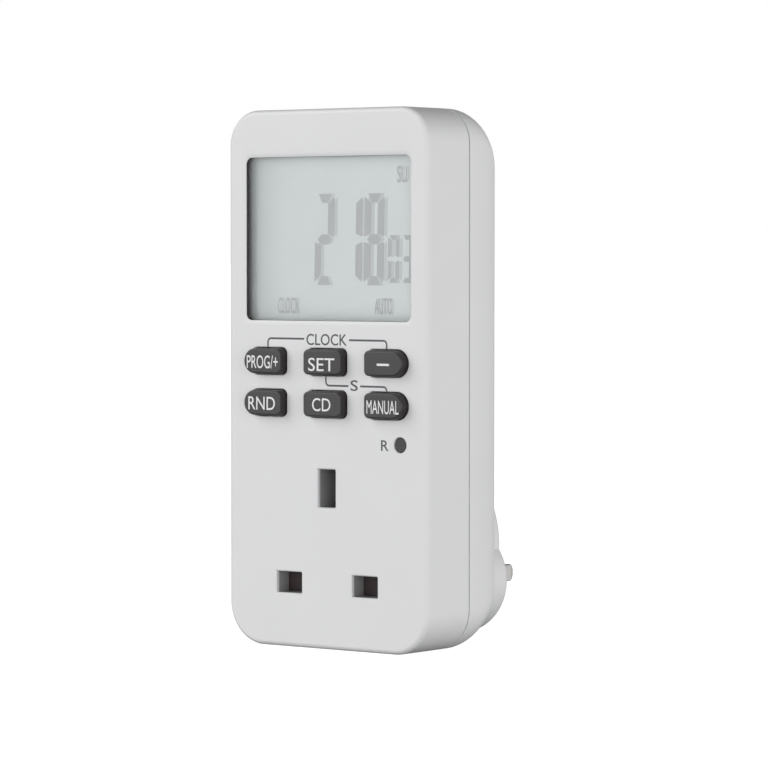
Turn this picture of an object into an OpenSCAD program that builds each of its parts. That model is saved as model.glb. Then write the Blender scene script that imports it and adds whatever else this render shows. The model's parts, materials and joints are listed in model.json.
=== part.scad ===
// Plug-through programmable timer for square-pin (13 A) wall sockets.
// The front has a display, six keys, a reset button and a shuttered outlet.
// The back has a plug boss with three pins.
//
// Frame: +X is the viewer's right, the front faces -Y, +Z is up. The origin is on the plug boss's
// face, midway between the live and neutral pins. Depths are counted from the front face.

/* [Case] */
// Width of the case
case_w = 58.5; // [58:0.5:60]
// Height of the case
case_h = 125; // [124:0.5:128]
// Depth of the case without the plug boss
case_depth = 29; // [29:0.1:29.4]
// Depth of the front shell, down to the parting line
front_depth = 16.2; // [16:0.1:16.4]
// Distance from the live and neutral line to the bottom edge
socket_drop = 15.1; // [15:0.1:16]
// Corner radius of the front face
corner_r = 8.2; // [7.5:0.1:9]
// Radius along the edge of the front face
edge_r = 1.2; // [0.8:0.1:1.5]
// Wall thickness
wall = 2; // [1.8:0.1:2.1]
// Width of the groove on the parting line
groove = 0.4; // [0.3:0.1:0.5]
// Depth over which the rear shell rounds off
roll_depth = 11; // [9:0.5:12]
// How far the rear shell draws in at each side
roll_side = 2.8; // [2:0.1:3.5]
// How far the rear shell draws in at the top and the bottom
roll_end = 12; // [10:0.5:13]
// Corner radius of the back face
back_corner_r = 4; // [3:0.5:6]

/* [Plug and outlet] */
// Height of the plug boss above the back
boss_h = 8; // [7:0.1:9]
// Distance from the centre line to the live and neutral pins
pin_x = 11.11; // [11.0:0.01:11.2]
// Height of the earth pin above the live and neutral line
earth_z = 22.23; // [22.1:0.01:22.4]
// Length of the live and neutral pins outside the boss
pin_l = 17.7; // [17.2:0.1:18.2]
// Length of the earth pin outside the boss
earth_pin_l = 22.7; // [22.2:0.1:23.2]
// Width and height of the live and neutral pins
pin_size = [6.35, 3.97];
// Width and height of the earth pin
earth_pin_size = [3.97, 7.95];
// Width and height of the live and neutral apertures
aperture_size = [7.5, 5.0];
// Width and height of the earth aperture
earth_aperture_size = [5.2, 8.9];
// Radius of the plug boss around the earth pin
boss_r = 24.1; // [23.9:0.1:24.4]
// Height of the centre of that radius
boss_z = 8.3; // [8:0.1:8.6]
// Radius of the plug boss around the live and neutral pins
lobe_r = 12.8; // [12.6:0.1:13]
// Distance of those lobes from the centre line
lobe_x = 13.5; // [13:0.1:13.6]
// Radius along the edge of the plug boss
boss_edge_r = 3; // [2:0.1:3.2]

/* [Display] */
// Width and height of the window
window_size = [48.4, 38];
// Height of the centre of the window
window_z = 79.9; // [79.5:0.1:80.3]
// Corner radius of the window
window_r = 1.6; // [1.2:0.1:2]
// Width of the bevel round the window
window_bevel = 1; // [0.6:0.1:1.2]

/* [Keys] */
// Distance between the key columns
key_pitch_x = 17.75; // [17.5:0.05:18]
// Centre of the middle key column
key_column_x = 0.25; // [0:0.05:0.4]
// Heights of the two key rows, lower one first
key_rows = [41.75, 51.45];
// Width and height of a key where it leaves the case
key_size = [11.3, 6.15];
// How far a key stands out of the case
key_rise = 2.2; // [1.8:0.1:2.4]
// Travel of a key
key_travel = 0.8; // [0.5:0.1:0.9]
// Place of the reset button
reset_at = [21.35, 32.87];
// Diameter of the reset button
reset_d = 3.4; // [3:0.1:3.8]

/* [Shutter] */
// Travel of the shutter when an earth pin goes in
shutter_travel = 5.6; // [5.5:0.1:5.7]

/* [Hidden] */
$fn = 48;
eps = 0.01;
front_y = -(case_depth + boss_h);
case_z = case_h / 2 - socket_drop;
pin_tip_depth = case_depth + boss_h + pin_l;
earth_tip_depth = case_depth + boss_h + earth_pin_l;

// Depths of the layers, counted from the front face
carrier_front = 1.0;
carrier_back = 4.6;
shutter_front = 4.75;
shutter_back = 6.75;
lens_front = 0.5;
lens_back = 2.5;
lcd_front = 2.6;
lcd_back = 5.2;
board_front = 8.0;
board_back = 9.6;
power_front = 24.2;
power_back = 25.8;
rear_floor = case_depth - 1.8;
post_split = 20;
screw_seat = 22;

key_fit = 0.15;
key_flange = 0.8;
key_flange_front = wall + 0.05;
key_bottom = 3.4;
switch_front = 4.5;
plunger_r = 1.7;
plunger_end = 5.9;
reset_recess = 0.3;
reset_stem_r = 1;

// Rounded-corner radii of the two ends of a key, by column
key_ends = [[key_size[1] / 2, 1.3], [1.3, 1.3], [1.3, key_size[1] / 2]];
case_posts = [[-20, 104.8], [20, 104.8], [-23.2, 27.5], [23.2, 27.5], [0, -6.5]];
control_posts = [[-8.62, 46.6], [9.12, 46.6], [-22.5, 34.2], [12, 34.2]];
power_posts = [[-21, 37.5], [21, 37.5], [-21, 96], [21, 96]];
relay_at = [17.4, 56];

white = [0.93, 0.93, 0.94];
charcoal = [0.22, 0.22, 0.23];
carrier_grey = [0.45, 0.45, 0.46];
shutter_black = [0.12, 0.1, 0.1];
brass = [0.80, 0.65, 0.35];
nickel = [0.75, 0.75, 0.75];
steel = [0.6, 0.62, 0.65];
copper = [0.72, 0.40, 0.22];
board_green = [0.10, 0.38, 0.20];

// ---------- Helpers ----------

// Extrudes an outline drawn in X and Z between two depths.
module layer(from, to)
    translate([0, front_y + to, 0]) rotate([90, 0, 0]) linear_extrude(to - from) children();

// A box between two X, two Z and two depths.
module slab(x, z, depth)
    translate([x[0], front_y + depth[0], z[0]])
        cube([x[1] - x[0], depth[1] - depth[0], z[1] - z[0]]);

// A round bar along the depth.
module rod(at, r, depth)
    translate([at[0], front_y + depth[1], at[1]]) rotate([90, 0, 0])
        cylinder(r = r, h = depth[1] - depth[0]);

// A round bar along X, at a height and a depth.
module bar_x(x, z, depth, r)
    translate([x[0], front_y + depth, z]) rotate([0, 90, 0]) cylinder(r = r, h = x[1] - x[0]);

// A round bar along Z, at a place across and a depth.
module bar_z(x, z, depth, r)
    translate([x, front_y + depth, z[0]]) cylinder(r = r, h = z[1] - z[0]);

module rounded_rect(size, r) {
    square([size[0] - 2 * r, size[1]], center = true);
    square([size[0], size[1] - 2 * r], center = true);
    for (x = [-1, 1], z = [-1, 1])
        translate([x * (size[0] / 2 - r), z * (size[1] / 2 - r)]) circle(r = r);
}

// An arc of steps + 1 points.
function arc(at, r, from, to, steps) =
    [for (j = [0:steps]) let (a = from + (to - from) * j / steps)
        [at[0] + r * cos(a), at[1] + r * sin(a)]];

// A rounded rectangle about the case's centre, as points.
function case_ring(w, h, r) = [for (q = [0:3])
    let (x = (q == 0 || q == 3 ? 1 : -1) * (w / 2 - r), z = (q < 2 ? 1 : -1) * (h / 2 - r))
    each arc([x, case_z + z], r, 90 * q, 90 * q + 90, 9)];

// A closed skin over outlines that have equally many points, each at its own depth.
module loft(rings, depths) {
    n = len(rings[0]);
    last = len(rings) - 1;
    points = [for (k = [0:last], p = rings[k]) [p[0], front_y + depths[k], p[1]]];
    sides = [for (k = [0:last - 1], j = [0:n - 1], half = [0, 1])
        let (a = k * n + j, b = k * n + (j + 1) % n)
        half == 0 ? [a, b, a + n] : [b, b + n, a + n]];
    polyhedron(points = points, convexity = 4, faces = concat(
        [[for (j = [0:n - 1]) j]], sides, [[for (j = [n - 1:-1:0]) last * n + j]]));
}

// The front shell's outside, with its rounded front edge.
module front_form() {
    turns = [90:-18:0];
    insets = [for (a = turns) edge_r * (1 - cos(a))];
    loft([for (k = insets) case_ring(case_w - 2 * k, case_h - 2 * k, corner_r - k),
            case_ring(case_w, case_h, corner_r)],
        [for (a = turns) edge_r * (1 - sin(a)), front_depth - groove]);
}

// The rear shell's outside, or its inside when inset is the wall thickness.
module rear_form(inset, from) {
    turns = [0:15:90];
    loft([case_ring(case_w - 2 * inset, case_h - 2 * inset, corner_r - inset),
            for (a = turns) let (k = 1 - cos(a)) case_ring(
                case_w - 2 * (inset + roll_side * k), case_h - 2 * (inset + roll_end * k),
                corner_r - inset + (back_corner_r - corner_r) * k)],
        [from, for (a = turns) case_depth - inset - (roll_depth - inset) * (1 - sin(a))]);
}

// The plug boss's outline: a round part about the earth pin and two lobes about live and
// neutral, which meet it in a crease on each side.
function boss_ring(inset) =
    let (big = boss_r - inset, small = lobe_r - inset, gap = norm([lobe_x, boss_z]),
        turn = acos((small * small + gap * gap - big * big) / (2 * small * gap)),
        crease = atan2(boss_z, -lobe_x) - turn,
        start = atan2(small * sin(crease) - boss_z, lobe_x + small * cos(crease)))
    concat(
        arc([0, boss_z], big, start, 180 - start, 36),
        arc([-lobe_x, 0], small, 180 - crease + 6, 270, 14),
        arc([lobe_x, 0], small, -90, crease - 6, 14));

// The plug boss, drawn in by inset.
module boss_form(inset, from, to) {
    edge = boss_edge_r - inset / 2;
    turns = [0:18:90];
    loft([boss_ring(inset), for (a = turns) boss_ring(inset + edge * (1 - cos(a)))],
        [from, for (a = turns) to - edge * (1 - sin(a))]);
}

// A key's outline; ends holds the corner radii of its left and right ends.
module key_outline(ends, grow = 0) {
    w = key_size[0] + 2 * grow;
    h = key_size[1] + 2 * grow;
    for (side = [0, 1]) {
        s = 2 * side - 1;
        r = ends[side] + grow;
        translate([s * (w / 2 - r), 0]) {
            for (z = [-1, 1]) translate([0, z * (h / 2 - r)]) circle(r = r);
            if (h > 2 * r + eps) square([2 * r, h - 2 * r], center = true);
        }
        translate([side == 0 ? -(w / 2 - r) : 0, -h / 2]) square([w / 2 - r, h]);
    }
}

function key_place(column, row) = [key_column_x + (column - 1) * key_pitch_x, key_rows[row]];

// A keycap: tapered top, body in the case's hole, flange behind the wall and a stem.
module keycap(column, row) {
    at = key_place(column, row);
    ends = key_ends[column];
    color(charcoal) {
        hull() {
            layer(-key_rise, -key_rise + eps) translate(at) key_outline(ends, -0.45);
            layer(-key_rise + 0.35, -key_rise + 0.35 + eps) translate(at) key_outline(ends, -0.25);
            layer(-eps, 0) translate(at) key_outline(ends);
        }
        layer(0, key_flange_front) translate(at) key_outline(ends);
        layer(key_flange_front, key_flange_front + 0.8) translate(at)
            key_outline(ends, key_flange);
        rod(at, 2.2, [key_flange_front + 0.8, key_bottom]);
    }
}

module key_plunger(column, row) {
    color(shutter_black) rod(key_place(column, row), plunger_r, [key_bottom, plunger_end]);
}

// A square tact switch with a hole for its plunger.
module tact_switch(at, half, r, bore_end) {
    difference() {
        slab([at[0] - half, at[0] + half], [at[1] - half, at[1] + half],
            [switch_front, board_front]);
        rod(at, r + 0.08, [switch_front - eps, bore_end]);
    }
}

// A tube along a list of points, each given as [x, depth, z].
module wire(points, r) {
    for (i = [0:len(points) - 2]) hull() {
        translate([points[i][0], front_y + points[i][1], points[i][2]]) sphere(r = r, $fn = 12);
        translate([points[i + 1][0], front_y + points[i + 1][1], points[i + 1][2]])
            sphere(r = r, $fn = 12);
    }
}

// ---------- Case ----------

module front_case() {
    inner = [case_w - 2 * wall, case_h - 2 * wall];
    color(white) difference() {
        union() {
            difference() {
                front_form();
                layer(wall, front_depth + eps) translate([0, case_z])
                    rounded_rect(inner, corner_r - wall);
                // Rebate for the rear shell's lip
                layer(front_depth - 2.2, front_depth + eps) translate([0, case_z])
                    rounded_rect([inner[0] + wall, inner[1] + wall], corner_r - wall / 2);
            }
            for (at = case_posts) rod(at, 2.6, [wall - eps, post_split]);
            for (at = control_posts) rod(at, 1.8, [wall - eps, board_front]);
        }
        // Window, with its bevel
        layer(-eps, wall + eps) translate([0, window_z]) rounded_rect(window_size, window_r);
        hull() {
            layer(-0.1, -eps) translate([0, window_z]) rounded_rect(
                [window_size[0] + 2 * window_bevel, window_size[1] + 2 * window_bevel],
                window_r + window_bevel, $fn = 32);
            layer(0.4 - eps, 0.4) translate([0, window_z])
                rounded_rect(window_size, window_r, $fn = 32);
        }
        // Key holes and the reset hole
        for (column = [0:2], row = [0, 1]) layer(-eps, wall + eps)
            translate(key_place(column, row)) key_outline(key_ends[column], key_fit);
        rod(reset_at, reset_d / 2 + 0.1, [-eps, wall + eps]);
        // Outlet apertures, and the seat of the carrier behind them
        layer(-eps, wall) outlet_apertures();
        slab([-18.2, 18.2], [-5.8, 28.7], [carrier_front, wall + eps]);
        // Pilot holes
        for (at = case_posts) rod(at, 1.25, [9, post_split + eps]);
        for (at = control_posts) rod(at, 0.9, [3, board_front + eps]);
    }
}

module outlet_apertures() {
    for (s = [-1, 1]) translate([s * pin_x, 0]) square(aperture_size, center = true);
    translate([0, earth_z]) square(earth_aperture_size, center = true);
}

// Slots for the three pins, wider than the pins by grow all round
module pin_slots(grow, from, to) {
    for (s = [-1, 1])
        slab([s * pin_x - pin_size[0] / 2 - grow, s * pin_x + pin_size[0] / 2 + grow],
            [-pin_size[1] / 2 - grow, pin_size[1] / 2 + grow], [from, to]);
    slab([-earth_pin_size[0] / 2 - grow, earth_pin_size[0] / 2 + grow],
        [earth_z - earth_pin_size[1] / 2 - grow, earth_z + earth_pin_size[1] / 2 + grow],
        [from, to]);
}

module rear_case() {
    lip = case_w / 2 - wall;
    color(white) difference() {
        union() {
            difference() {
                union() {
                    rear_form(0, front_depth);
                    boss_form(0, case_depth - 3, case_depth + boss_h);
                }
                rear_form(wall - 0.2, front_depth - 1);
                boss_form(2.2, case_depth - 4, case_depth + boss_h - 2.5);
            }
            // Lip that locates the front shell
            layer(front_depth - 2, front_depth + 1) translate([0, case_z]) difference() {
                rounded_rect([2 * lip + 1.7, case_h - 2 * wall + 1.7], corner_r - wall + 0.85);
                rounded_rect([2 * lip, case_h - 2 * wall], corner_r - wall);
            }
            intersection() {
                rear_form(0.5, front_depth);
                union() {
                    for (i = [0:3]) rod(case_posts[i], 4, [screw_seat - 1.5, case_depth]);
                    for (at = power_posts) rod(at, 2, [power_back, case_depth]);
                }
            }
            for (at = case_posts) rod(at, 2.6, [post_split, screw_seat]);
            rod(case_posts[4], 4, [screw_seat - 1.5, case_depth + boss_h - 1]);
        }
        for (at = case_posts) {
            rod(at, 1.6, [post_split - eps, case_depth + boss_h + eps]);
            rod(at, 2.9, [screw_seat, case_depth + boss_h + eps]);
        }
        for (at = power_posts) rod(at, 0.9, [power_back - eps, rear_floor + 0.6]);
        pin_slots(0.05, case_depth, case_depth + boss_h + eps);
    }
}

module case_screws() {
    color(steel) for (at = case_posts) {
        difference() {
            rod(at, 2.6, [screw_seat, screw_seat + 1.8]);
            slab([at[0] - 2, at[0] + 2], [at[1] - 0.3, at[1] + 0.3],
                [screw_seat + 1, screw_seat + 1.9]);
            slab([at[0] - 0.3, at[0] + 0.3], [at[1] - 2, at[1] + 2],
                [screw_seat + 1, screw_seat + 1.9]);
        }
        rod(at, 1.2, [11, screw_seat]);
    }
}

module board_screws() {
    color(steel) {
        for (at = control_posts) {
            rod(at, 1.7, [board_back, board_back + 0.9]);
            rod(at, 0.85, [4, board_back]);
        }
        for (at = power_posts) {
            rod(at, 1.7, [power_front - 0.9, power_front]);
            rod(at, 0.85, [power_front, rear_floor + 0.4]);
        }
    }
}

// ---------- Display ----------

module window_layer(from, to, grow, r)
    layer(from, to) translate([0, window_z])
        rounded_rect([window_size[0] + 2 * grow, window_size[1] + 2 * grow], r);

module display_lens() {
    color([0.85, 0.9, 0.92, 0.35]) {
        window_layer(lens_front, wall + 0.02, -0.32, window_r - 0.3);
        window_layer(wall + 0.02, lens_back, 0.8, 1.5);
    }
}

module lens_gasket() {
    color(shutter_black) difference() {
        window_layer(lens_front, wall, 0, window_r);
        window_layer(lens_front - eps, wall + eps, -0.3, window_r - 0.3);
    }
}

module lcd_panel() {
    color([0.72, 0.75, 0.75]) {
        window_layer(lcd_front, lcd_front + 1.1, 1.2, 0.4);
        layer(lcd_front + 1.1, lcd_front + 2.2) translate([0, window_z])
            square([window_size[0] + 2.4, window_size[1] - 2], center = true);
    }
}

module lcd_reflector() {
    color([0.85, 0.86, 0.86]) layer(lcd_front + 2.2, lcd_back) translate([0, window_z])
        square([window_size[0], window_size[1] - 3], center = true);
}

module lcd_connectors() {
    color([0.35, 0.35, 0.4]) for (s = [-1, 1])
        translate([0, 0, s * (window_size[1] / 2 - 0.1)])
            slab([-23, 23], [window_z - 0.8, window_z + 0.8], [lcd_front + 1.1, board_front]);
}

module lcd_holder() {
    outer = [window_size[0] + 4.6, window_size[1] + 3.6];
    color([0.3, 0.3, 0.3]) difference() {
        layer(lcd_front + 0.2, board_front) translate([0, window_z]) rounded_rect(outer, 1);
        layer(lcd_front, lcd_back + 0.1) translate([0, window_z])
            square([window_size[0] + 2.6, window_size[1] + 2.6], center = true);
        layer(lcd_back, board_front + eps) translate([0, window_z])
            square([window_size[0] - 2, window_size[1] + 1.8], center = true);
    }
}

// ---------- Keys and their switches ----------

module program_key() { keycap(0, 1); }
module set_key() { keycap(1, 1); }
module minus_key() { keycap(2, 1); }
module random_key() { keycap(0, 0); }
module countdown_key() { keycap(1, 0); }
module manual_key() { keycap(2, 0); }

module program_plunger() { key_plunger(0, 1); }
module set_plunger() { key_plunger(1, 1); }
module minus_plunger() { key_plunger(2, 1); }
module random_plunger() { key_plunger(0, 0); }
module countdown_plunger() { key_plunger(1, 0); }
module manual_plunger() { key_plunger(2, 0); }

module key_switches() {
    color([0.15, 0.15, 0.16]) for (column = [0:2], row = [0, 1])
        tact_switch(key_place(column, row), 3, plunger_r, plunger_end + key_travel + 0.3);
}

module reset_button() {
    color(charcoal) {
        rod(reset_at, reset_d / 2, [reset_recess, key_flange_front]);
        rod(reset_at, reset_d / 2 + 0.5, [key_flange_front, key_flange_front + 0.8]);
        rod(reset_at, reset_stem_r, [key_flange_front + 0.8, 5.6]);
    }
}

module reset_switch() {
    color([0.15, 0.15, 0.16]) tact_switch(reset_at, 2, reset_stem_r, 6.8);
}

// ---------- Control board ----------

module control_board() {
    color(board_green) difference() {
        slab([-26.6, 26.6], [30.7, 101.6], [board_front, board_back]);
        for (at = control_posts) rod(at, 0.9, [board_front - eps, board_back + eps]);
    }
}

module controller_chip() {
    at = [4, 76];
    half = 5;
    color(charcoal) slab([at[0] - half, at[0] + half], [at[1] - half, at[1] + half],
        [board_back + 0.1, board_back + 1.5]);
    color(nickel) for (i = [-4.5:1:4.5], s = [-1, 1])
        slab([at[0] + i - 0.2, at[0] + i + 0.2],
            s > 0 ? [at[1] + half, at[1] + half + 1.2] : [at[1] - half - 1.2, at[1] - half],
            [board_back, board_back + 0.5]);
}

module clock_crystal() {
    color(nickel) {
        bar_z(16, [70, 76], board_back + 1, 1);
        for (s = [-1, 1]) bar_z(16 + s * 0.5, [68, 70.2], board_back + 0.6, 0.2);
    }
}

module backup_cell() {
    color(steel) rod([-14, 88], 5.75, [board_back + 0.3, board_back + 5.5]);
}

module cell_tabs() {
    color(nickel) {
        slab([-16, -5.5], [86.5, 89.5], [board_back, board_back + 0.3]);
        slab([-16, -6], [86.5, 89.5], [board_back + 5.5, board_back + 5.8]);
        slab([-6.3, -6], [86.5, 89.5], [board_back + 0.3, board_back + 5.5]);
    }
}

module control_parts() {
    color([0.55, 0.45, 0.35]) for (i = [0:5]) {
        slab([-20 + 4 * i, -18 + 4 * i], [66, 67.2], [board_back, board_back + 0.7]);
        slab([-20 + 4 * i, -18 + 4 * i], [62, 63.2], [board_back, board_back + 0.6]);
    }
}

module board_header() {
    color(charcoal) {
        slab([0.5, 15.8], [90.8, 93.2], [board_back, board_back + 2.5]);
        slab([0.5, 15.8], [90.8, 93.2], [power_front - 2.5, power_front]);
    }
    color(brass) for (i = [0:5])
        slab([1.5 + 2.54 * i, 2.1 + 2.54 * i], [91.7, 92.3],
            [board_back + 2.5, power_front - 2.5]);
}

// ---------- Power board ----------

module power_board() {
    color([0.55, 0.42, 0.22]) difference() {
        slab([-24.5, 24.5], [34, 99.5], [power_front, power_back]);
        for (at = power_posts) rod(at, 0.9, [power_front - eps, power_back + eps]);
    }
}

relay_half = [6.3, 14];
relay_front = 10.4;
coil_depth = 16.1;
coil_x = relay_at[0];
coil_z = [relay_at[1] - 2, relay_at[1] + 11.4];
hinge_depth = 21.6;
hinge_z = relay_at[1] - 2.75;

module relay_base() {
    color([0.12, 0.12, 0.12])
        slab([relay_at[0] - relay_half[0], relay_at[0] + relay_half[0]],
            [relay_at[1] - relay_half[1], relay_at[1] + relay_half[1]],
            [power_front - 2, power_front]);
}

module relay_cover() {
    skin = 0.7;
    x = [relay_at[0] - relay_half[0], relay_at[0] + relay_half[0]];
    z = [relay_at[1] - relay_half[1], relay_at[1] + relay_half[1]];
    color([0.15, 0.25, 0.5]) difference() {
        slab(x, z, [relay_front, power_front - 2]);
        slab([x[0] + skin, x[1] - skin], [z[0] + skin, z[1] - skin],
            [relay_front + skin, power_front]);
    }
}

module relay_bobbin() {
    color([0.85, 0.82, 0.7]) difference() {
        union() {
            for (z = [coil_z[0], coil_z[1] - 1]) bar_z(coil_x, [z, z + 1], coil_depth, 4.9);
            bar_z(coil_x, coil_z, coil_depth, 2.5);
        }
        bar_z(coil_x, [coil_z[0] - eps, coil_z[1] + eps], coil_depth, 1.9);
    }
}

module relay_winding() {
    color(copper) difference() {
        bar_z(coil_x, [coil_z[0] + 1, coil_z[1] - 1], coil_depth, 4.1);
        bar_z(coil_x, [coil_z[0], coil_z[1]], coil_depth, 2.5);
    }
}

// Iron core and L-shaped yoke in one piece, as riveted together
module relay_frame() {
    color(steel) {
        bar_z(coil_x, [coil_z[0] - 0.3, coil_z[1] + 0.05], coil_depth, 1.85);
        slab([coil_x - 3.5, coil_x + 3.5], [coil_z[1] + 0.05, coil_z[1] + 1.2],
            [coil_depth - 3, hinge_depth + 0.5]);
        slab([coil_x - 3.5, coil_x + 3.5], [hinge_z + 0.6, coil_z[1] + 0.05],
            [hinge_depth - 0.5, hinge_depth + 0.5]);
    }
}

// Clapper with its contact leaf; it turns about the end of the yoke
module relay_armature() {
    color(nickel) {
        slab([coil_x - 3.3, coil_x + 3.3], [hinge_z - 1, hinge_z],
            [coil_depth - 3, hinge_depth + 0.4]);
        slab([coil_x - 1.6, coil_x + 1.6], [hinge_z - 9, hinge_z - 1],
            [hinge_depth - 0.6, hinge_depth - 0.3]);
        rod([coil_x, hinge_z - 7.5], 1.4, [hinge_depth - 1.3, hinge_depth - 0.6]);
    }
}

module relay_contacts() {
    color(brass) {
        slab([coil_x - 2, coil_x + 2], [relay_at[1] - relay_half[1] + 1, hinge_z - 5.6],
            [hinge_depth - 3.4, hinge_depth - 2.9]);
        rod([coil_x, hinge_z - 7.5], 1.4, [hinge_depth - 2.9, hinge_depth - 1.9]);
        slab([coil_x - 2, coil_x + 2],
            [relay_at[1] - relay_half[1] + 1, relay_at[1] - relay_half[1] + 1.5],
            [hinge_depth - 2.9, power_front - 2]);
    }
}

module dropper_capacitor() {
    color([0.75, 0.62, 0.2]) slab([-22, -4], [42, 50.5], [11.6, power_front]);
}

module smoothing_capacitor() {
    color([0.1, 0.1, 0.25]) rod([-16, 60], 4, [12.4, power_front]);
}

module surge_varistor() {
    color([0.15, 0.3, 0.6]) bar_x([-5.5, -2], 60, 18.4, 4.8);
    color(nickel) for (z = [57.5, 62.5])
        slab([-4, -3.5], [z - 0.25, z + 0.25], [18.4 + 3.5, power_front]);
}

module board_fuse() {
    color([0.6, 0.55, 0.5]) bar_z(4, [50, 61], 21.6, 2.2);
    color(nickel) for (z = [49, 62]) bar_x([3.7, 4.3], z, 21.6, 0.3);
    color(nickel) for (z = [[48.7, 50], [61, 62.3]]) bar_z(4, z, 21.6, 0.35);
    color(nickel) for (z = [49, 62]) rod([4, z], 0.35, [21.6, power_front]);
}

// Axial parts lying along X, each with two bent leads
module axial_part(x, z, half, r, tone) {
    depth = power_front - r - 0.1;
    color(tone) bar_x([x - half, x + half], z, depth, r);
    color(nickel) for (s = [-1, 1]) {
        bar_x(s > 0 ? [x + half, x + half + 1.6] : [x - half - 1.6, x - half], z, depth, 0.35);
        rod([x + s * (half + 1.3), z], 0.35, [depth, power_front]);
    }
}

module rectifier_diodes() {
    for (i = [0:3]) axial_part(-16.5, 76 + 4.2 * i, 2.6, 1.35, charcoal);
}

module board_resistors() {
    for (i = [0:3]) axial_part(-5.5, 76 + 4.2 * i, 3.2, 1.2, [0.3, 0.5, 0.65]);
}

module relay_transistor() {
    color(charcoal) difference() {
        rod([6, 82], 2.3, [power_front - 7, power_front - 2.5]);
        slab([3, 9], [83.3, 85], [power_front - 8, power_front]);
    }
    color(nickel) for (i = [-1:1])
        slab([5.8 + i * 1.27, 6.2 + i * 1.27], [81.8, 82.2], [power_front - 2.5, power_front]);
}

// ---------- Outlet ----------

module socket_carrier() {
    color(carrier_grey) {
        difference() {
            slab([-18, 18], [-5.6, 28.5], [carrier_front, carrier_back]);
            layer(carrier_front - eps, carrier_back + eps) outlet_apertures();
            rod(case_posts[4], 2.8, [carrier_front - eps, carrier_back + eps]);
        }
        // Walls of the earth passage, one each side of the shutter's ramp
        for (s = [-1, 1]) translate([s * 3.2, 0, 0])
            slab([-0.6, 0.6], [17.2, 27.5], [carrier_back - eps, 11.4]);
    }
}

module contact_housing() {
    color([0.9, 0.9, 0.88]) difference() {
        union() {
            for (s = [-1, 1]) translate([s * pin_x, 0, 0])
                slab([-5.2, 5.2], [-5.2, 5.2], [7, 18.2]);
            slab([-5.4, 5.4], [15.6, 29], [11.5, 23]);
            slab([-12, 12], [0, 16], [11.5, 13.5]);
            slab([-2.6, 2.6], [4, 5.5], [7, 11.6]);
        }
        for (s = [-1, 1]) translate([s * pin_x, 0, 0])
            slab([-3.7, 3.7], [-3.3, 3.3], [6, 19]);
        slab([-3.3, 3.3], [17.3, 27.2], [11, 24]);
    }
}

// Blanks for live and neutral, and the ramp that an earth pin pushes down
module shutter() {
    ramp_foot = 17.9;
    ramp_run = 6;
    // With the shutter down, the ramp's top is just below an earth pin, and the blanks' tops
    // are just below the apertures.
    ramp_rise = earth_z - earth_pin_size[1] / 2 + shutter_travel - 0.15 - ramp_foot;
    blank_top = -aperture_size[1] / 2 + shutter_travel - 0.1;
    steps = 8;
    depth = [shutter_front, shutter_back];
    color(shutter_black) {
        for (s = [-1, 1]) translate([s * 11, 0, 0]) slab([-5, 5], [-3.6, blank_top], depth);
        for (s = [-1, 1]) translate([s * 5.2, 0, 0]) slab([-2, 2], [-3.6, 8], depth);
        slab([-4.5, 4.5], [2.6, 8], depth);
        slab([-2.1, 2.1], [7.9, 15.5], depth);
        translate([-2.1, front_y + shutter_front, 0]) rotate([90, 0, 90]) linear_extrude(4.2)
            polygon(concat(
                [[0, 15]],
                [[ramp_run, 15]],
                [for (i = [steps:-1:0]) let (t = i / steps)
                    [ramp_run * t, ramp_foot + ramp_rise * t * t]]));
    }
}

spring_z = [5.5, 15];
spring_depth = 8.9;
spring_r = 1.55;
spring_wire = 0.2;
spring_turns = 6;

// Coil spring swept as one closed skin
module shutter_spring() {
    sides = 6;
    steps = spring_turns * 16;
    rise = spring_z[1] - spring_z[0] - 2 * spring_wire;
    points = [for (i = [0:steps], j = [0:sides - 1])
        let (turn = 360 * spring_turns * i / steps, around = 360 * j / sides,
            reach = spring_r + spring_wire * cos(around))
        [reach * cos(turn), reach * sin(turn),
            rise * i / steps + spring_wire * (1 + sin(around))]];
    faces = concat(
        [[for (j = [0:sides - 1]) j]],
        [for (i = [0:steps - 1], j = [0:sides - 1])
            let (a = i * sides + j, b = i * sides + (j + 1) % sides)
            [a, a + sides, b + sides, b]],
        [[for (j = [sides - 1:-1:0]) steps * sides + j]]);
    color(steel) translate([0, front_y + spring_depth, spring_z[0]])
        polyhedron(points = points, faces = faces, convexity = 10);
}

// Two brass jaws joined behind by a strap; the jaws stand above and below a pin
module pin_contact(x) {
    gap = pin_size[1] / 2 + 0.08;
    for (s = [-1, 1]) translate([0, 0, s * (gap + 0.3)])
        slab([x - 3, x + 3], [-0.3, 0.3], [8.2, 18.6]);
    slab([x - 3, x + 3], [-gap - 0.6, gap + 0.6], [18.2, 18.8]);
}

module live_contact() { color(brass) pin_contact(pin_x); }

module neutral_contact() { color(brass) pin_contact(-pin_x); }

module earth_contact() {
    gap = earth_pin_size[0] / 2 + 0.08;
    color(brass) {
        for (s = [-1, 1]) translate([s * (gap + 0.3), 0, 0])
            slab([-0.3, 0.3], [earth_z - 4, earth_z + 4], [12, 23.6]);
        slab([-gap - 0.6, gap + 0.6], [earth_z - 4, earth_z + 4], [23.2, 23.8]);
    }
}

// ---------- Plug ----------

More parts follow.
